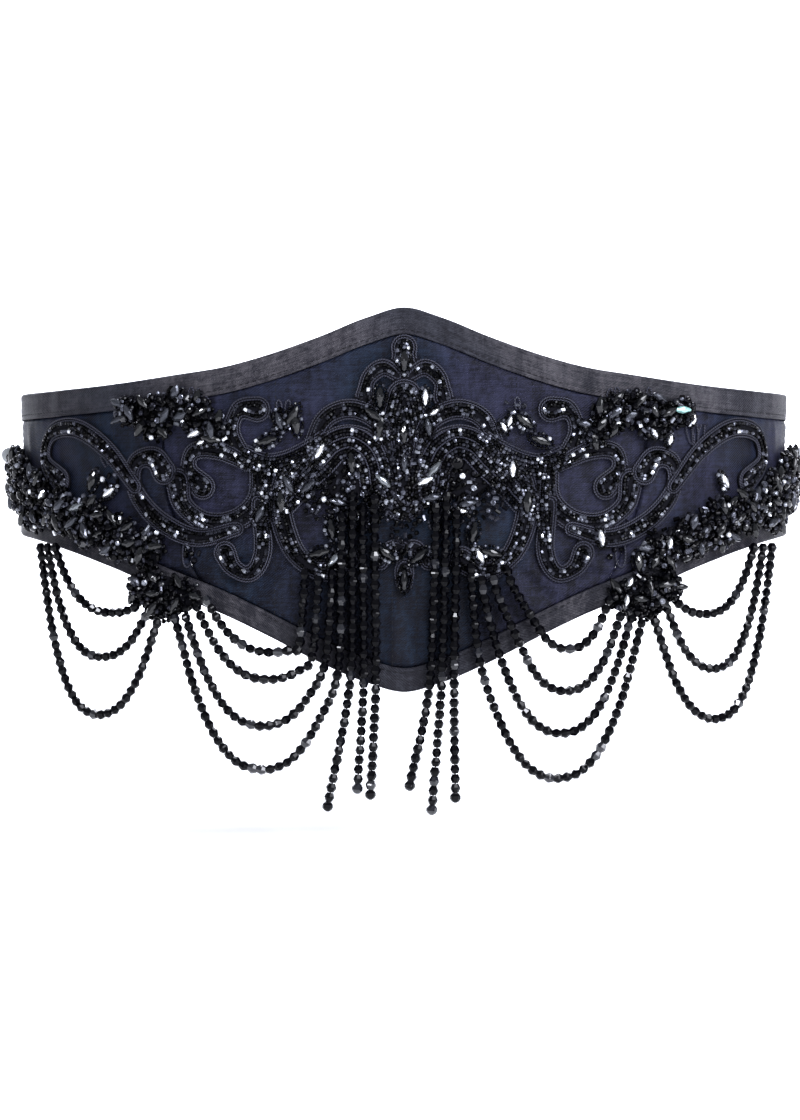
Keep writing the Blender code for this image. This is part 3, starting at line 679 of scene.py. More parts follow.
# Each strand: where it is tied and where it crosses the hem, both (s, z), then its free tip, or the s
# where it is tied to the drop cluster and its lowest z.
FRINGE = {
    "right": [
        ((9.8, -9), (9.3, -71), (11.0, -107)),
        ((13.6, -13), (13.2, -69), (15.2, -105)),
        ((17.0, -8), (17.4, -68), (24.8, -111)),
        ((20.4, -15), (21.5, -66), 76.0, -99),
        ((23.6, -34), (25.8, -64), 72.2, -84.5),
        ((28.2, -36), (30.0, -62), 68.4, -69),
        ((32.6, -34), (34.2, -58), 65.0, -60),
    ],
    "left": [
        ((10.6, -12), (8.2, -71), (1.8, -104)),
        ((14.0, -8), (12.2, -69), (9.0, -112)),
        ((17.4, -14), (16.2, -68), (16.6, -108)),
        ((21.8, -32), (25.0, -65), 79.0, -102),
        ((25.6, -36), (31.0, -61), 75.2, -87),
        ((29.6, -36), (37.5, -57), 71.4, -73),
        ((34.0, -33), (44.5, -53), 67.6, -59),
    ],
}
# Each swag: the s where it is tied, the s where it is tied to the drop cluster, and its lowest z.
SWAGS = {
    "right": [(126.0, 91.0, -47.5), (130.5, 86.8, -62.5), (135.0, 82.6, -82)],
    "left": [(126.5, 93.0, -48), (132.0, 88.4, -66.5), (138.0, 84.0, -83.5)],
}
SWAG_TIED_Z = -26.0
SIGN = {"right": -1, "left": 1}
DROP_HEAPS = np.array([(74, -42, 6), (81, -42, 8), (89, -39, 6)], float)


def smooth_line(points, step=1.0):
    """Points along a smooth curve through the given ones."""
    points = [np.array(p, float) for p in points]
    padded = [2 * points[0] - points[1], *points, 2 * points[-1] - points[-2]]
    line = []
    for a, b, c, d in zip(padded, padded[1:], padded[2:], padded[3:]):
        count = max(2, math.ceil(np.linalg.norm(c - b) / step))
        for t in np.arange(count) / count:
            bend = (2 * a - 5 * b + 4 * c - d) * t + (3 * b - a - 3 * c + d) * t * t
            line.append(b + ((c - a) + bend) * t / 2)
    return np.array([*line, points[-1]])


def drop_foot(s):
    """Height on the drop cluster's lower edge, where the swags are tied."""
    reach = np.maximum(DROP_HEAPS[:, 2] ** 2 - (DROP_HEAPS[:, 0] - s) ** 2, 0) ** 0.5
    return float(np.min(DROP_HEAPS[:, 1] - reach)) - 1.0


def swag(start, finish, low):
    """Points of a strand that hangs between two places and has its lowest point at low."""
    pull_start = (start[1] - low) ** (1 / SAG_POWER)
    pull_finish = (finish[1] - low) ** (1 / SAG_POWER)
    middle = (start[0] * pull_finish + finish[0] * pull_start) / (pull_start + pull_finish)
    points = []
    for s in np.linspace(start[0], finish[0], 9)[1:]:
        tied = start if (s - middle) * (start[0] - middle) > 0 else finish
        rise = abs((s - middle) / (tied[0] - middle)) ** SAG_POWER
        points.append((s, low + (tied[1] - low) * rise))
    return points


def fringe_routes(rows):
    """Routes of the strands under the medallion, and whether each hangs free."""
    for root, cross, *rest in rows:
        route = [root, (root[0] * 0.8 + cross[0] * 0.2, root[1] * 0.7 + cross[1] * 0.3), cross]
        if len(rest) == 1:
            yield route + rest, True
        else:
            end, low = rest
            yield route + swag(cross, (end, drop_foot(end)), low), False


def swag_routes(rows):
    """Routes of the swags at the side, none of which hangs free."""
    for root, end, low in rows:
        yield [(root, SWAG_TIED_Z), *swag((root, SWAG_TIED_Z), (end, drop_foot(end)), low)], False


jet, tree, shader = new_material("faceted_jet_glass", Roughness=0.07, IOR=1.5)
smoky = ranged(tree, own(tree, "tone"), 0.88, 0.94)
feed(shader, Base_Color=blend(tree, smoky, "#020204", "#101116"),
     Specular_IOR_Level=ranged(tree, smoky, 0.0, 1.0, 0.12, 0.65))
string = new_material("black_nylon_string", Base_Color=linear("#101012"), Roughness=0.5)[0]


def tube_tree():
    """A round cord along a line, which keeps how far along and around it each point is."""
    tree = bpy.data.node_groups.new("round_cord_on_line", "GeometryNodeTree")
    given = sockets(tree, Line="Geometry", Radius="Float", Sides="Int", Finish="Material")
    circle = add(tree, "GeometryNodeCurvePrimitiveCircle", Resolution=given["Sides"],
                 Radius=given["Radius"]).outputs[0]
    kept = []
    for line, name, measure in ((given["Line"], "along", "Length"), (circle, "around", "Factor")):
        how_far = add(tree, "GeometryNodeSplineParameter").outputs[measure]
        kept.append(add(tree, "GeometryNodeStoreNamedAttribute", Geometry=line, Name=name,
                        Value=how_far).outputs[0])
    tube = add(tree, "GeometryNodeCurveToMesh", Curve=kept[0], Profile_Curve=kept[1], Fill_Caps=True)
    finished(tree, tube.outputs[0], given["Finish"])
    return tree


tube = tube_tree()
radius = BEAD / 2
bicone = shape_object("bicone", [(-1.52, radius * 0.62), (-0.25, radius), (0.25, radius),
                                 (1.52, radius * 0.62)], 8)
end_ball = shape_object("end_ball", [(-1.75, 0.5), (-1.2, 1.3), (-0.5, 1.8), (0.5, 1.8), (1.2, 1.3),
                                     (1.75, 0.5)], 9)
for kind, table, routes_of in (("fringe", FRINGE, fringe_routes), ("swags", SWAGS, swag_routes)):
    for hand, rows in table.items():
        lines = []
        tips = []
        for route, free in routes_of(rows):
            route = smooth_line(route)
            line = on_waist(SIGN[hand] * route[:, 0], route[:, 1], STRAND_OUT)
            lines.append(line)
            if free:
                tips.append(np.array([line[-1], line[-1] - (0, 0, END_BALL_DROP * MM)]))
        beads = grow(line_object("strand_lines", lines), strung, "%s_%s_beads" % (kind, hand), Thing=bicone,
                     Pitch=BEAD_PITCH * MM, Uneven=0.05, Tilt=0.1, Seed=21, Finish=jet)
        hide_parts("%s_%s" % (kind, hand))
        threads = grow(line_object("strand_lines", lines), tube, "%s_%s_string" % (kind, hand),
                       Radius=STRING_RADIUS * MM, Sides=5, Finish=string)
        pieces = [beads, threads]
        if tips:
            pieces.append(grow(line_object("tips", tips), strung, "%s_%s_end_balls" % (kind, hand),
                               Thing=end_ball, Pitch=ONE_PITCH * MM, Uneven=0.04, Tilt=0.1, Seed=5,
                               Finish=jet))
        for piece in pieces:
            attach(piece, "root")
put_away(bicone, end_ball)


# Applique ground: black net backed with felt, cut to common scroll shapes. The medallion at the
# centre front and the scrolls on each side are three separate pieces, sewn flat to the satin.

LIFT = 0.3
GROUND_THICK = 0.8
GROUND_CELL = 1.0
# Each scroll: width, width of its rolled end, and places (s, z) along its middle.
CENTRE_SCROLLS = {
    "finial": (9, 9, [(0, 33), (0, 41.5)]),
    "shoulder": (6, 7, [(2, 32), (7, 35), (12, 31), (13, 25)]),
    "shield": (17, 15, [(0, 25), (0, 8), (0, -9)]),
    "volute": (7, 7, [(5, 6), (8, 16), (17, 21), (26, 18), (31, 8), (34, -3)]),
    "swirl": (25, 25, [(16.5, 3.5), (18.5, 3.5)]),
    "crescent": (8, 9, [(34, 4), (40, -2), (41, -14), (36, -27), (27, -33), (19, -29)]),
    "fleur": (5, 6, [(0, -25), (4, -25), (8, -30)]),
    "pendant": (7, 6, [(0, -31), (0, -37)]),
}
SIDE_SCROLLS = {
    "upper hook": (6.5, 9, [(49, 0), (55, 7), (58, 14), (55, 21), (49, 21)]),
    "middle hook": (6.5, 9, [(51, 2), (62, 7), (71, 7), (73, 1), (68, -5)]),
    "crescent": (8, 9, [(49, 2), (49, -9), (56, -16), (66, -17), (75, -11), (77, -3)]),
    "outer hook": (7, 9, [(56, -19), (70, -22), (84, -16), (93, -6), (93, 3), (86, 5), (82, 0)]),
    "side hook": (7, 9, [(93, -5), (105, 8), (119, 15), (133, 13), (137, 4), (127, -3)]),
    "lower hook": (6.5, 8, [(49, -10), (47, -26), (51, -34), (57, -32), (60, -27)]),
}


def scroll_discs(width, end, line):
    """A scroll as discs along its middle line, swelling into the rolled end."""
    line = smooth_line(line)
    t = np.linspace(0, 1, len(line))
    swell = np.clip((t - 0.7) / 0.3, 0, 1)
    widths = width * (0.72 + 0.28 * np.sin(math.pi * np.clip(t * 1.2, 0, 1)))
    widths = widths * (1 - swell) + end * swell
    return np.column_stack([line, widths / 2])


def outside(s, z, discs):
    """Distance outside a run of discs, less than 0 inside it."""
    s, z = np.broadcast_arrays(np.asarray(s, float), np.asarray(z, float))
    best = np.full(s.shape, 1e3)
    for middle_s, middle_z, reach in discs:
        np.minimum(best, np.hypot(s - middle_s, z - middle_z) - reach, out=best)
    return best


CENTRE_RUNS = []
for width, end, line in CENTRE_SCROLLS.values():
    run = scroll_discs(width, end, line)
    upright = max(abs(s) for s, z in line) < 1
    CENTRE_RUNS += [run] if upright else [run, run * np.array([-1, 1, 1])]
SIDE_RUNS = [scroll_discs(*scroll) for scroll in SIDE_SCROLLS.values()]
CENTRE_DISCS = np.concatenate(CENTRE_RUNS)
SIDE_DISCS = np.concatenate(SIDE_RUNS)
HEAPS = {
    "upper": np.array([(64, 14, 5.5), (70, 19.5, 7), (77, 23.5, 5), (85, 18.5, 8), (95, 20.5, 5.5)], float),
    "side": np.array([(88, -26, 7), (99, -22, 8), (112, -17, 9), (126, -13.5, 8), (143, -10, 11),
                      (158, -4, 11), (172, -1, 10), (184, 1, 8)], float),
    "drop": DROP_HEAPS,
}
SIDE_SHELTER = np.concatenate([CENTRE_DISCS, HEAPS["upper"], HEAPS["side"]])
NOWHERE = np.array([(0, 999, 1.0)])


def field_over(discs, cell, room=1.5):
    """Grid lines that take in a run of discs, and at each crossing its distance outside them."""
    low = (discs[:, :2] - discs[:, 2:]).min(0) - room
    high = (discs[:, :2] + discs[:, 2:]).max(0) + room
    columns, rows = (np.arange(low[k], high[k] + cell, cell) for k in (0, 1))
    return columns, rows, outside(columns[:, None], rows[None, :], discs)


def corner_edges(i, j):
    """The four sides of a grid square, as pairs of its corners."""
    corners = [(i, j), (i + 1, j), (i + 1, j + 1), (i, j + 1)]
    return list(zip(corners, corners[1:] + corners[:1]))


def cut_place(value, columns, rows, key, level):
    """Where a level crosses the edge between two grid points."""
    a, b = key
    t = min(max((value[a] - level) / (value[a] - value[b]), 0.02), 0.98)
    return (columns[a[0]] + (columns[b[0]] - columns[a[0]]) * t, rows[a[1]] + (rows[b[1]] - rows[a[1]]) * t)


def filled(value, columns, rows):
    """Flat faces over all that is inside a field's zero level, as points and lists of their numbers."""
    inside = value < 0
    some = inside[:-1, :-1] | inside[1:, :-1] | inside[1:, 1:] | inside[:-1, 1:]
    order = {}
    points = []
    faces = []
    for i, j in zip(*np.nonzero(some)):
        face = []
        for here, there in corner_edges(int(i), int(j)):
            keys = [here] if inside[here] else []
            if inside[here] != inside[there]:
                keys.append((min(here, there), max(here, there)))
            for key in keys:
                if key not in order:
                    order[key] = len(points)
                    whole = not isinstance(key[0], tuple)
                    points.append((columns[key[0]], rows[key[1]]) if whole
                                  else cut_place(value, columns, rows, key, 0))
                face.append(order[key])
        if len(face) > 2:
            faces.append(face)
    return np.array(points), faces


def contours(value, columns, rows, level):
    """Lines along which a field has one level: each a closed loop of (s, z), or ends at the grid's edge."""
    inside = value < level
    links = {}
    mixed = inside[:-1, :-1].astype(int) + inside[1:, :-1] + inside[1:, 1:] + inside[:-1, 1:]
    for i, j in zip(*np.nonzero((mixed > 0) & (mixed < 4))):
        crossed = [(min(pair), max(pair)) for pair in corner_edges(int(i), int(j))
                   if inside[pair[0]] != inside[pair[1]]]
        for a, b in zip(crossed[::2], crossed[1::2]):
            links.setdefault(a, []).append(b)
            links.setdefault(b, []).append(a)
    found = []
    while links:
        line = [next((key for key, near in links.items() if len(near) == 1), next(iter(links)))]
        while links.get(line[-1]):
            there = links[line[-1]].pop()
            links[there].remove(line[-1])
            if not links[line[-1]]:
                del links[line[-1]]
            line.append(there)
        links.pop(line[-1], None)
        found.append(np.array([cut_place(value, columns, rows, key, level) for key in line]))
    return found


def evened(line, step):
    """A line with its points this far apart, its corners rounded a little."""
    for _ in range(2):
        if len(line) > 4:
            line = np.vstack([line[:1], (line[:-2] + 2 * line[1:-1] + line[2:]) / 4, line[-1:]])
    run = np.concatenate([[0], np.cumsum(np.hypot(*np.diff(line, axis=0).T))])
    at = np.linspace(0, run[-1], max(3, int(run[-1] / step) + 1))
    return np.column_stack([np.interp(at, run, line[:, 0]), np.interp(at, run, line[:, 1])])


def kept_stretches(line, keep):
    """The stretches of a line where keep is true, each at least four points long."""
    cuts = np.flatnonzero(np.diff(keep.astype(int))) + 1
    for part, kept in zip(np.split(line, cuts), np.split(keep, cuts)):
        if kept[0] and len(part) > 3:
            yield part


def scroll_lines(runs, level, cell, step, shelter):
    """The lines at one level inside each scroll, left out where a later scroll or the shelter lies over."""
    found = []
    for index, run in enumerate(runs):
        columns, rows, value = field_over(run, cell)
        later = np.concatenate([NOWHERE, *runs[index + 1:]])
        for line in contours(value, columns, rows, level):
            line = evened(line, step)
            over = np.minimum(outside(line[:, 0], line[:, 1], later) - 0.2,
                              outside(line[:, 0], line[:, 1], shelter) + 0.8)
            found += list(kept_stretches(line, over > 0))
    return found


felt, tree, shader = new_material("black_felt_ground", Roughness=0.85, Specular_IOR_Level=0.1)
place = add(tree, "ShaderNodeUVMap", {"uv_map": "flat_mm"}).outputs[0]
fibre = add(tree, "ShaderNodeTexNoise", Vector=place, Scale=2.4, Detail=4.0, Roughness=0.8).outputs[0]
feed(shader, Base_Color=blend(tree, fibre, "#030305", "#0b0b12"))
roughen(shader, fibre, 0.7, 0.0003)


def relief(name, value, columns, rows, side, rise):
    """A felt surface over the inside of a field, standing off the cloth by what rise says of a place."""
    points, faces = filled(value, columns, rows)
    if side < 0:
        faces = [face[::-1] for face in faces]
    out = rise(points[:, 0], points[:, 1])
    return mesh_of(name, on_waist(side * points[:, 0], points[:, 1], out), faces, points, felt), points


GROUNDS = [
    ("applique_centre", CENTRE_DISCS, NOWHERE, 1),
    ("applique_left", SIDE_DISCS, SIDE_SHELTER, 1),
    ("applique_right", SIDE_DISCS, SIDE_SHELTER, -1),
]
for node, discs, shelter, side in GROUNDS:
    columns, rows, value = field_over(discs, GROUND_CELL)
    value = np.maximum(value, 0.5 - outside(columns[:, None], rows[None, :], shelter))
    piece, points = relief(node + "_ground", value, columns, rows, side, lambda s, z: LIFT + GROUND_THICK
                           + 0.25 * np.clip(-outside(s, z, discs) / 2, 0, 1))
    thicken(piece, GROUND_THICK)
    area = sum(p.area for p in piece.data.polygons)
    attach(piece, "root")
    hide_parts(node)


# Cords: two rows of twisted black cord couched round every scroll, just inside its edge. A later
# scroll covers the cords of an earlier one, as it does on the real piece.

CORD_RADIUS = 0.28
CORD_TWIST = 520.0
CORD_OUT = 1.30
CORD_LEVELS = (-0.30, -1.15)
CONTOUR_CELL = 0.8

cord_finish, tree, shader = new_material("twisted_black_cord", Roughness=0.45, Specular_IOR_Level=0.22)
turns = calc(tree, "MULTIPLY_ADD", own(tree, "along"), CORD_TWIST, own(tree, "around"))
strand = calc(tree, "SINE", calc(tree, "MULTIPLY", turns, 2 * math.tau))
# Each ply's stripe runs from black to a pale grey that is a painted highlight on the twist; the cord itself
# is black.
feed(shader, Base_Color=blend(tree, ranged(tree, strand, -1.0, 1.0), "#010102", "#40414f"))
roughen(shader, strand, 0.8, 0.00015)


def mirrored(discs):
    """Discs, and the same on the other side of the centre front."""
    discs = np.array(discs, float)
    return np.concatenate([discs, discs * (-1, 1, 1)])


# No cords or rows are laid here: the sweeps take their place at the foot of each swirl.
SWIRL_FOOT = mirrored([(10, -6, 5), (17, -7, 7), (25, -5, 6)])
LAID = [("centre", CENTRE_RUNS, SWIRL_FOOT, 1), ("left", SIDE_RUNS, SIDE_SHELTER, 1),
        ("right", SIDE_RUNS, SIDE_SHELTER, -1)]
for where, runs, shelter, side in LAID:
    lines = [on_waist(side * line[:, 0], line[:, 1], CORD_OUT) for level in CORD_LEVELS
             for line in scroll_lines(runs, level, CONTOUR_CELL, 0.7, shelter)]
    cords = grow(line_object("cord_lines", lines), tube, "couched_cord_" + where,
                 Radius=CORD_RADIUS * MM, Sides=6, Finish=cord_finish)
    cords.data.shade_smooth()
    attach(cords, "root")


# Bead rows: small cut-glass beads in gunmetal and black, sewn in rows that follow each scroll inside
# its cords, each lying a little differently so that they sparkle one by one. A few are coloured near
# white: pale beads that are partly a painted highlight for their glints.

ROW_BEAD = 1.25
ROW_PITCH = 1.32
ROW_LEVELS = (-2.0, -3.0, -4.1, -5.3, -6.5, -7.7)
ROW_OUT = 1.75

gunmetal, tree, shader = new_material("gunmetal_cut_beads", Metallic=0.6, Roughness=0.12,
                                      Specular_IOR_Level=0.2)
ramp = add(tree, "ShaderNodeValToRGB", Fac=own(tree, "tone"))
stops = ramp.color_ramp.elements
ramp.color_ramp.interpolation = "CONSTANT"
stops.remove(stops[1])
stops[0].color = linear("#020203")
# The palest stops make a few beads near white: pale beads, and partly a painted highlight standing in for
# glints.
for share, code in ((0.48, "#0e0e13"), (0.68, "#282930"), (0.84, "#4f515a"), (0.95, "#82858d"),
                    (0.988, "#dfe2e7")):
    stops.new(share).color = linear(code)
feed(shader, Base_Color=ramp.outputs["Color"])

half = ROW_BEAD / 2
cut_bead = shape_object("cut_bead", [(-half, half * 0.72), (-half * 0.5, half * 0.98),
                                     (half * 0.5, half * 0.98), (half, half * 0.72)], 6)
# No rows are laid here either: they follow the sweeps instead.
SWIRLS = mirrored([(17.5, 3.5, 11.9)])
for where, runs, shelter, side in LAID:
    lines = [on_waist(side * line[:, 0], line[:, 1], ROW_OUT) for level in ROW_LEVELS
             for line in scroll_lines(runs, level, CONTOUR_CELL, 0.8, np.concatenate([shelter, SWIRLS]))
             if np.hypot(*np.diff(line, axis=0).T).sum() > 3 * ROW_PITCH]
    beads = grow(line_object("bead_lines", lines), strung, "bead_rows_" + where, Thing=cut_bead,
                 Pitch=ROW_PITCH * MM, Uneven=0.1, Tilt=0.3, Seed=31, Finish=gunmetal)
    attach(beads, "root")
put_away(cut_bead)


# Clusters: heaps of beads over low padded mounds at the upper edge, along the sides and at the hem
# where the strands are tied. Seed beads and jets, of three cuts each, are sewn on in four layers, as
# thickly as they will lie. The two lowest layers of the drop clusters are all black.

MOUND_LOW = 0.9
MOUND_HIGH = 3.0
MOUND_STEEP = 0.55
MOUND_CELL = 1.6


def scattered_tree():
    """Things strewn on a surface, no two nearer than a distance, standing off it along its normal."""
    tree = bpy.data.node_groups.new("scattered_on_surface", "GeometryNodeTree")
    given = sockets(tree, Surface="Geometry", Things="Collection", Apart="Float", Dense="Float",
                    Small="Float", Large="Float", Tilt="Float", Seed="Int", Finish="Material")
    points = add(tree, "GeometryNodeDistributePointsOnFaces", {"distribute_method": "POISSON"},
                 Mesh=given["Surface"], Distance_Min=given["Apart"], Density_Max=given["Dense"],
                 Seed=given["Seed"]).outputs
    things = add(tree, "GeometryNodeCollectionInfo", Collection=given["Things"], Separate_Children=True,
                 Reset_Children=True).outputs[0]
    placed(tree, given, points["Points"], points["Rotation"], things, (given["Small"], given["Large"]),
           (4, 9), pick=True)
    return tree


scattered = scattered_tree()


def assortment(name, shapes):
    """A collection that a scatter picks from."""
    box = bpy.data.collections.new(name)
    for shape in shapes:
        bpy.context.scene.collection.objects.unlink(shape)
        box.objects.link(shape)
    return box


def laid_down(shape):
    """Turns a shape's axis from upright to flat."""
    shape.data.transform(Matrix.Rotation(math.pi / 2, 4, "X"))
    return shape


seed_beads = assortment("seed_beads", [
    shape_object("seed_round", [(-0.8, 0.45), (-0.45, 0.9), (0.3, 0.98), (0.7, 0.7), (0.95, 0.3)], 8),
    shape_object("seed_ring", [(-0.5, 0.8), (-0.2, 1.05), (0.35, 1.05), (0.6, 0.75), (0.3, 0.4)], 9),
    laid_down(shape_object("seed_tube", [(-1.1, 0.45), (-0.95, 0.7), (0.95, 0.7), (1.1, 0.45)], 6)),
])
jet_beads = assortment("jet_beads", [
    laid_down(shape_object("lying_bicone", [(-1.6, 0.5), (-0.2, 1.7), (0.2, 1.7), (1.6, 0.5)], 8)),
    shape_object("faceted_round", [(-1.3, 0.6), (-0.6, 1.4), (0.4, 1.55), (1.05, 1.05), (1.45, 0.45)], 9),
    shape_object("rose_cut", [(-0.4, 1.5), (0.2, 1.65), (0.9, 1.1), (1.3, 0.5)], 8),
])


def mound_rise(s, z, heaps):
    """Height of a mound above the ground, which rises inward from the edge of its heaps."""
    return np.clip(MOUND_LOW - MOUND_STEEP * outside(s, z, heaps), MOUND_LOW, MOUND_HIGH)


def mound(name, heaps, side, shrink=0.0, lift=0.0, rise=mound_rise):
    """A padded mound under a cluster, or the same surface a little higher to sew beads on."""
    columns, rows, value = field_over(heaps, MOUND_CELL)
    return relief(name, value + shrink, columns, rows, side,
                  lambda s, z: LIFT + rise(s, z, heaps) + lift)[0]


# Each layer: beads, how far it stays inside, its lift, least distance apart, sizes and material.
CLUSTER_LAYERS = [
    (seed_beads, -0.3, 0.6, 1.7, 0.8, 1.1, gunmetal), (seed_beads, 0.4, 1.5, 2.0, 0.75, 1.1, gunmetal),
    (jet_beads, 1.2, 1.6, 3.8, 0.65, 0.95, jet), (seed_beads, 1.0, 2.3, 3.0, 0.6, 1.0, gunmetal),
]
DARK_LAYERS = {"drop": (0, 1)}
MOUND_WALL = 0.7
CLUSTER_DENSE = 600000.0

for where, heaps in HEAPS.items():
    for hand, side in SIGN.items():
        node = "cluster_%s_%s" % (where, hand)
        base = mound(node + "_mound", heaps, side, shrink=0.8)
        thicken(base, MOUND_WALL)
        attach(base, "root")
        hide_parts(node)
        for layer, (things, shrink, lift, apart, small, large, finish) in enumerate(CLUSTER_LAYERS):
            beads = grow(mound("sewing_surface", heaps, side, shrink, lift), scattered,
                         "%s_beads_%d" % (node, layer), Things=things, Apart=apart * MM,
                         Dense=CLUSTER_DENSE, Small=small, Large=large, Tilt=0.5,
                         Seed=50 + layer + (7 if side > 0 else 0),
                         Finish=jet if layer in DARK_LAYERS.get(where, ()) else finish)
            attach(beads, "root")


# Side beads: one round smoky bead where each side cluster ends, just behind the side seam. It is the
# outermost thing on the belt.

SIDE_BEAD = {"s": 181.0, "z": 6.0, "out": 5.2}
smoke = new_material("smoky_grey_glass", Base_Color=linear("#85888a"), Roughness=0.08)[0]
side_ball = shape_object("side_ball", [(-2.6, 0.8), (-2.1, 1.8), (-1.1, 2.65), (0, 2.85), (1.1, 2.65),
                                       (2.1, 1.8), (2.6, 0.8)], 10)
for hand, side in SIGN.items():
    place = on_waist(side * SIDE_BEAD["s"], SIDE_BEAD["z"], SIDE_BEAD["out"])
    end = place + (0, 0.3 * MM, 4 * MM)
    bead = grow(line_object("side_place", [np.array([place, end])]), strung, "side_bead_" + hand,
                Thing=side_ball, Pitch=ONE_PITCH * MM, Uneven=0.0, Tilt=0.3, Seed=3, Finish=smoke)
    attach(bead, "root")
put_away(side_ball)


# Medallion beading: gunmetal seed beads sewn thickly over the middle of the medallion, and small
# loose groups of them on the cloth around it.

MEDALLION_BEADED = mirrored([(0, 4, 6), (0, -3, 8), (0, -12, 7), (0, -19, 5), (0, -25, 4), (6, 12, 4),
                             (9, -9, 6), (13, -16, 5), (17.5, -3, 5), (20, -11, 6), (24, -5, 6),
                             (29, -11, 5), (31, -2, 5)])
LOOSE_BEADS = np.array([(40, 18, 4.5), (-40, 17, 4.5), (36, 22, 3), (-48, -14, 5), (48, -14, 5),
                        (-49, 4, 4), (49, 4, 4), (-104, -4, 4), (70, -26, 4), (-71, -26, 4)], float)

# Each patch: its places, how far it stands off and is lifted, least distance apart, most in a square
# metre, size of the largest, and seed.
PATCHES = {
    "medallion_beads": (MEDALLION_BEADED, GROUND_THICK + 0.5, 0.3, 1.55, 700000.0, 1.05, 77),
    "loose_beads": (LOOSE_BEADS, 0.45, 0.0, 2.1, 300000.0, 1.15, 78),
}
for name, (heaps, out, lift, apart, dense, large, seed) in PATCHES.items():
    surface = mound("sewing_surface", heaps, 1, lift=lift, rise=lambda s, z, heaps: out + 0 * s)
    beads = grow(surface, scattered, name, Things=seed_beads, Apart=apart * MM, Dense=dense, Small=0.75,
                 Large=large, Tilt=0.6, Seed=seed, Finish=gunmetal)
    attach(beads, "root")


# Stones: marquise-cut glass in sewn settings. Most are jet or grey; some are jet stones given a
# near-white mirror finish, a painted reflection of the light their faces catch, and one on the wearer's
# left is painted pale aqua, a painted reflection of something teal. Jet and grey petals cover the heaps
# of each cluster.

STONE_TALL = 1.6
# Each stone: place (s, z) and turn of its long axis in degrees.
STONES = {
    "jet": [(-24, -19, 100), (-28, -27, 15), (-37, 19, 60), (40, 17, 140), (-64, 11, 170),
            (-89, 15, 60), (-110, -3, 70), (-84, -25, 5), (65, 22, 90), (79, -30, 90),
            (0, -36, 90), (5, -28, 40), (-6, -27, 140), (0, 13, 90), (0, 37, 90), (-8, 25, 90),
            (-10, 19, 145), (-8, 15, 80), (-17, -14, 5), (-36, 16, 100), (-45.5, 10.5, 15),
            (45.5, 10.5, 160), (23, -20, 80), (29, -27, 165), (41, -10, 85), (-41, -10, 95),
            (-17.5, 3.2, 95)],
    "crystal": [(7, 25, 90), (-28, 7, 60), (7, -3, 25), (36, 1, 90), (25, -28, 115), (-70, 13, 25),
                (-103, -7, 35), (114, -3, 120), (66, -22, 100)],
    "small crystal": [(10, 20, 35), (19, -13, 175), (35, 17, 75), (33, 15, 120), (-68, 10, 25),
                      (-134, -8, 60), (100, 18, 90), (84, 13, 120), (91, 11, 80), (89, -24, 80),
                      (75, -37, 60), (73, -43, 80)],
    "smoky": [(10, 1, 50), (-7, -3, 140), (-23, -29, 50), (-115, -12, 20)],
    "grey": [(8, 15, 100), (0, 3, 90), (9.5, -8.5, 8), (-38.5, -4, 120), (-32, -5, 40),
             (-22, -10, 165), (21, -10.5, 10), (-41.5, 17, 108), (-48, -14, 65), (-64, 14, 100),
             (-80, 19, 60), (70, 20, 40), (86, 25, 150), (-93, 20, 120)],
    "aqua": [(94, 21, 0)],
}
STONE_RINGS = [(0.55, -0.35), (1.0, 0.3), (0.9, 0.66), (0.62, 0.98), (0.2, 1.12)]
GIRDLE = 12
STONE_CORNERS = GIRDLE * len(STONE_RINGS)
STONE_SEAT = 0.8
STONE_ON_BEADS = 1.5


def turned_on_waist(s, z, x, y, turn, out):
    """Points about a place on the belt, given across (x, y) from it and turned by some degrees."""
    cos, sin = math.cos(math.radians(turn)), math.sin(math.radians(turn))
    return on_waist(s + x * cos - y * sin, z + x * sin + y * cos, out)


def stone_points(s, z, turn, base, long, wide, tip=0.0):
    """Points of a faceted marquise: a sunk back, a girdle of twelve points, a bevel and a low crown."""
    angles = np.arange(GIRDLE) * math.tau / GIRDLE
    taper = np.abs(np.cos(angles)) ** 1.6 * np.sign(np.cos(angles))
    swell = np.sin(angles) * (1 - 0.12 * np.abs(np.cos(angles)))
    return np.concatenate([
        turned_on_waist(s, z, taper * size * long / 2, swell * size * wide / 2, turn,
                        base + height * STONE_TALL + tip * (taper * size * long / 2))
        for size, height in STONE_RINGS])


def stone_faces(first):
    """Its facets, given the number of its first point."""
    faces = [[first + i for i in reversed(range(GIRDLE))]]
    for ring in range(len(STONE_RINGS) - 1):
        for i in range(GIRDLE):
            a = first + GIRDLE * ring + i
            b = first + GIRDLE * ring + (i + 1) % GIRDLE
            faces.append([a, b, b + GIRDLE, a + GIRDLE])
    faces.append([first + STONE_CORNERS - GIRDLE + i for i in range(GIRDLE)])
    return faces


def stone_mesh(name, groups, finish):
    """Many stones as one mesh with flat facets, each with its own tone."""
    points = np.concatenate(groups)
    faces = []
    for k in range(len(groups)):
        faces += stone_faces(STONE_CORNERS * k)
    mesh = bpy.data.meshes.new(name)
    mesh.from_pydata(points.tolist(), [], faces)
    tones = mesh.attributes.new("tone", "FLOAT", "POINT")
    rng = np.random.default_rng(3)
    tones.data.foreach_set("value", np.repeat(rng.random(len(groups)), STONE_CORNERS))
    mesh.materials.append(finish)
    bm = bmesh.new()
    bm.from_mesh(mesh)
    bmesh.ops.recalc_face_normals(bm, faces=bm.faces)
    bm.to_mesh(mesh)
    bm.free()
    return in_scene(name, mesh)


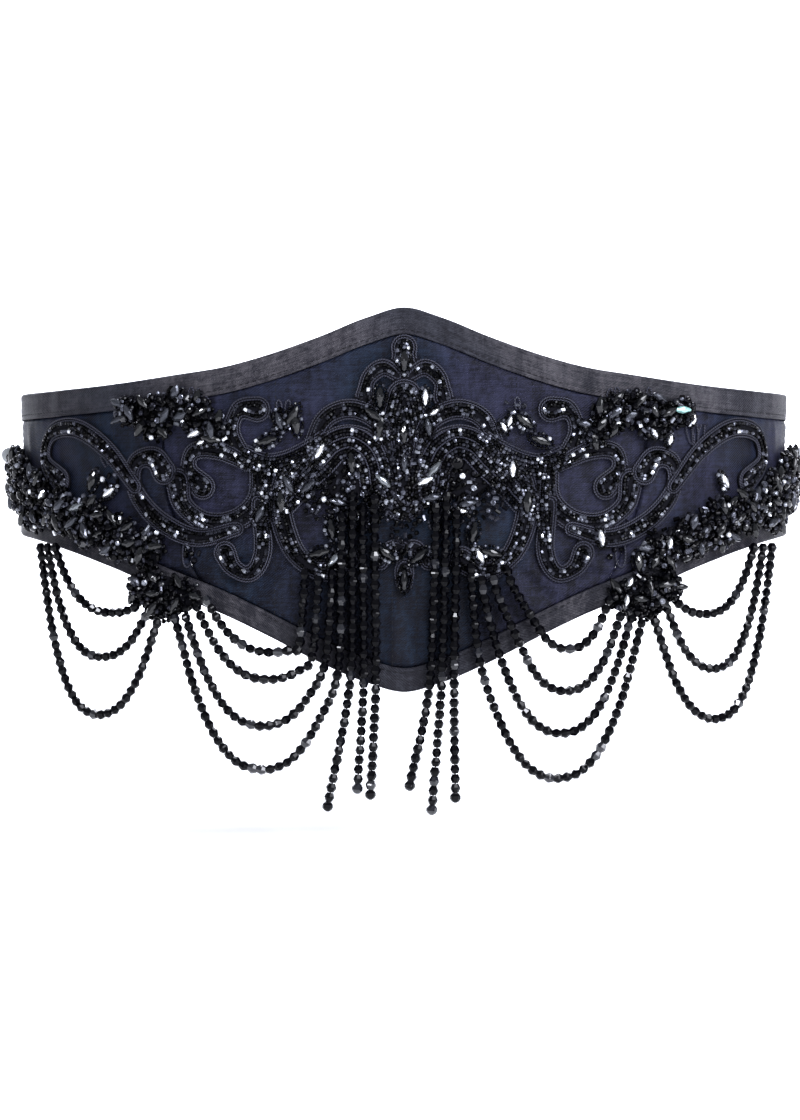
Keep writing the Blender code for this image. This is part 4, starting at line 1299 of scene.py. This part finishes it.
def glass(name, code, metal, rough):
    """Cut glass, or foil-backed glass where it has some metal, a little lighter or darker by stone. The
    near-white and aqua ones are jet stones with a painted reflection.
    """
    made, tree, shader = new_material(name, Metallic=metal, Roughness=rough, IOR=1.5,
                                      Specular_IOR_Level=0.45)
    tone = ranged(tree, own(tree, "tone"), 0.0, 1.0, 0.85, 1.1)
    feed(shader, Base_Color=blend(tree, 1.0, code, tone, "MULTIPLY"))
    return made


# The near-white mirror finish is a painted reflection: these stones are jet whose faces catch the light.
crystal = glass("foil_backed_crystal", "#f6f8fb", 0.92, 0.2)
# Each kind: name of its piece, material, length and width.
KINDS = {
    "jet": ("jet_marquise_stones", glass("jet_cut_glass", "#060709", 0.0, 0.05), 7.6, 3.3),
    "crystal": ("crystal_marquise_stones", crystal, 6.0, 2.5),
    "small crystal": ("small_crystal_stones", crystal, 4.2, 1.9),
    "smoky": ("smoky_marquise_stones", glass("smoky_foil_backed_crystal", "#74787c", 0.8, 0.14), 7.0, 2.7),
    "grey": ("grey_marquise_stones", glass("grey_foil_backed_glass", "#3a3c42", 0.7, 0.16), 6.4, 2.7),
    # The aqua colour is a painted reflection of something teal in a jet stone.
    "aqua": ("aqua_marquise_stone", glass("aqua_crystal", "#a9ddd8", 0.6, 0.14), 6.6, 2.7),
}


def stone_base(s, z):
    """How far off the cloth a stone sits: on a mound's beads, on the ground, or on the cloth."""
    side = abs(s)
    for heaps in HEAPS.values():
        if outside(side, z, heaps) < 0:
            return LIFT + float(mound_rise(side, z, heaps)) + STONE_ON_BEADS
    return LIFT + GROUND_THICK + STONE_SEAT


GREY_SHARE = {"upper": 0.35, "side": 0.35, "drop": 0.1}
PETAL_TRIES = 26
PETALS_APART = 5.0
PETAL_AWAY = (0.25, 0.95)
PETAL_TURN = (-30, 30)
PETAL_LIFT = (1.2, 1.9)
PETAL_LONG = (4.8, 7.2)
PETAL_WIDE = (2.4, 3.2)
PETAL_TIP = (-0.10, 0.06)
by_kind = {}
for kind, places in STONES.items():
    long, wide = KINDS[kind][2:]
    by_kind[kind] = [stone_points(s, z, turn, stone_base(s, z), long, wide) for s, z, turn in places]
rng = np.random.default_rng(8)
for where, heaps in HEAPS.items():
    for side in SIGN.values():
        taken = [(abs(s), z) for places in STONES.values() for s, z, turn in places if s * side > 0]
        for middle_s, middle_z, reach in np.repeat(heaps, PETAL_TRIES, axis=0):
            toward = rng.uniform(0, math.tau)
            away = reach * rng.uniform(*PETAL_AWAY)
            s = middle_s + away * math.cos(toward)
            z = middle_z + away * math.sin(toward)
            if min(math.hypot(s - a, z - b) for a, b in taken) < PETALS_APART:
                continue
            taken.append((s, z))
            turn = math.degrees(toward) + rng.uniform(*PETAL_TURN)
            base = LIFT + float(mound_rise(s, z, heaps)) + rng.uniform(*PETAL_LIFT)
            kind = "grey" if rng.random() < GREY_SHARE[where] else "jet"
            by_kind[kind].append(stone_points(side * s, z, turn if side > 0 else 180 - turn, base,
                                              long=rng.uniform(*PETAL_LONG), wide=rng.uniform(*PETAL_WIDE),
                                              tip=rng.uniform(*PETAL_TIP)))
for kind, (name, finish, long, wide) in KINDS.items():
    piece = stone_mesh(name, by_kind[kind], finish)
    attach(piece, "root")


# Stone edging: a ring of small beads sewn round every stone that lies on the ground or on the cloth,
# and rows of them that make the medallion's sweeps and join it to the side scrolls.

EDGING_PITCH = 1.3
JUNCTION_OUT = 2.0

edging = shape_object("edging_bead", [(-0.55, 0.4), (-0.25, 0.62), (0.25, 0.62), (0.55, 0.4)], 7)
rings = []
edged = [(s, z, turn, *KINDS[kind][2:]) for kind, places in STONES.items() for s, z, turn in places]
for s, z, turn, long, wide in edged:
    if min(float(outside(abs(s), z, heaps)) for heaps in HEAPS.values()) < 0:
        continue
    angles = np.linspace(0, math.tau, 40)
    x = np.abs(np.cos(angles)) ** 1.4 * np.sign(np.cos(angles)) * (long / 2 + 0.8)
    y = np.sin(angles) * (1 - 0.10 * np.abs(np.cos(angles))) * (wide / 2 + 0.75)
    rings.append(turned_on_waist(s, z, x, y, turn, stone_base(s, z) - 0.1))
# Each swirl of the medallion is one sweep of rows: up from the middle, over the top and out to the
# side. A bridge of rows runs from it to the side scrolls. Rows and cords lie this far below each line.
SWEEP = [(3, -9), (5.4, -3.5), (6.2, 2.5), (9.6, 9.6), (17, 14), (25, 12), (31, 6), (37, 0.4), (44, -7.5)]
SWEEP_ROWS = (0.0, 1.3, 3.4, 4.7, 6.8, 8.1)
SWEEP_CORDS = (-1.0, 2.35, 5.75, 9.2)
BRIDGE = [(26, 12.8), (33, 8.6), (40, 5.4), (46.5, 4.6), (53, 7.5)]
BRIDGE_ROWS = (0.3, 1.6, 2.9, 4.2, 5.5)
BRIDGE_CORDS = (-1.6, -0.7)
ALL_GROUND = np.concatenate([CENTRE_DISCS, SIDE_DISCS])
ON_GROUND = 1.85
ROW_LIFT = 0.15
JUNCTION_ROWS = (45.2, 46.7, 48.2)


def sweep_line(side, path, into, lift):
    """A line along a path, this far below it, lying on the ground or down on the cloth beside it."""
    line = smooth_line(path)
    ahead = np.gradient(line, axis=0)
    ahead /= np.hypot(*ahead.T)[:, None]
    line = evened(line + into * np.column_stack([ahead[:, 1], -ahead[:, 0]]), 0.8)
    off = np.clip(outside(line[:, 0], line[:, 1], ALL_GROUND) / 1.5, 0, 1)
    return on_waist(side * line[:, 0], line[:, 1], ON_GROUND - off + lift)


for side in SIGN.values():
    for s in JUNCTION_ROWS:
        z = np.linspace(6 - (s - 45) * 0.8, -24, 60)
        rings.append(on_waist(side * (s + 0.9 * np.sin(z / 7.0)), z, JUNCTION_OUT))
    for path, offsets in ((SWEEP, SWEEP_ROWS), (BRIDGE, BRIDGE_ROWS)):
        rings += [sweep_line(side, path, into, ROW_LIFT) for into in offsets]
beads = grow(line_object("edging_lines", rings), strung, "stone_edging_beads", Thing=edging,
             Pitch=EDGING_PITCH * MM, Uneven=0.1, Tilt=0.3, Seed=41, Finish=gunmetal)
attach(beads, "root")
put_away(edging)


# Cord loops: short loops of the same cord, like leaves, beside the clusters and the medallion, and
# the cords between the bead rows of each sweep and bridge.

LOOP_OUT = 0.75
# Each loop: foot (s, z), length, width and turn of its axis in degrees.
LOOPS = [
    (-69, 21.5, 6.5, 2.8, 95), (-72.5, 22, 6.5, 2.8, 84), (-65.5, 20, 5.5, 2.6, 106),
    (-64, 17.5, 4, 2.4, 120), (-41.5, 20, 4, 2.4, 96), (-39, 20, 4, 2.4, 84), (-44, 18, 4, 2.4, 118),
    (-105, 2, 5, 2.6, 120), (-102, 3, 6, 2.4, 100), (-73, -21, 11, 5, 268), (69, 21.5, 6.5, 2.8, 85),
    (72.5, 22, 6.5, 2.8, 96), (65.5, 20, 5.5, 2.6, 74), (64, 17.5, 4, 2.4, 60), (84, 23.5, 5, 2.6, 96),
    (99, 16, 7, 3.4, 290), (102, 16.5, 9, 3.6, 274), (105.5, 16, 7, 3.4, 258), (38, 21, 4, 2.4, 96),
    (103, 3, 6, 2.6, 72), (98, 0, 7, 4, 60), (73, -21, 11, 5, 272), (0, 41, 4, 5, 90), (0, -30, 5, 3, 270),
]
lines = []
for foot_s, foot_z, long, wide, turn in LOOPS:
    angles = np.linspace(-0.08, math.pi + 0.08, 24)
    x = long * np.clip(np.sin(angles), 0, 1) ** 0.8
    y = wide / 2 * np.cos(angles) * (0.4 + 0.6 * np.sin(np.clip(angles, 0, math.pi)) ** 0.5)
    lines.append(turned_on_waist(foot_s, foot_z, x, y, turn, LOOP_OUT))
for side in SIGN.values():
    for path, offsets in ((SWEEP, SWEEP_CORDS), (BRIDGE, BRIDGE_CORDS)):
        lines += [sweep_line(side, path, into, 0.0) for into in offsets]
loops = grow(line_object("loop_lines", lines), tube, "cord_loops", Radius=CORD_RADIUS * MM, Sides=6,
             Finish=cord_finish)
loops.data.shade_smooth()
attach(loops, "root")


# Cabochon: a smooth round jet dome in the middle of the medallion's left swirl, where the right swirl
# has a marquise stone.

CABOCHON = (17.5, 3.2)
dome = shape_object("cabochon_0", [(0, 2.75), (0.6, 2.7), (1.1, 2.45), (1.6, 2.0), (1.95, 1.4),
                                   (2.15, 0.7), (2.2, 0.2)], 20, round_it=True)
face, away = on_waist(*CABOCHON, 0), on_waist(*CABOCHON, 5)
spin = Vector((away - face) / (5 * MM)).to_track_quat("Z", "Y").to_matrix().to_4x4()
dome.data.transform(Matrix.Translation(Vector(on_waist(*CABOCHON, LIFT + GROUND_THICK))) @ spin)
dome.data.materials.append(jet)
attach(dome, "root")
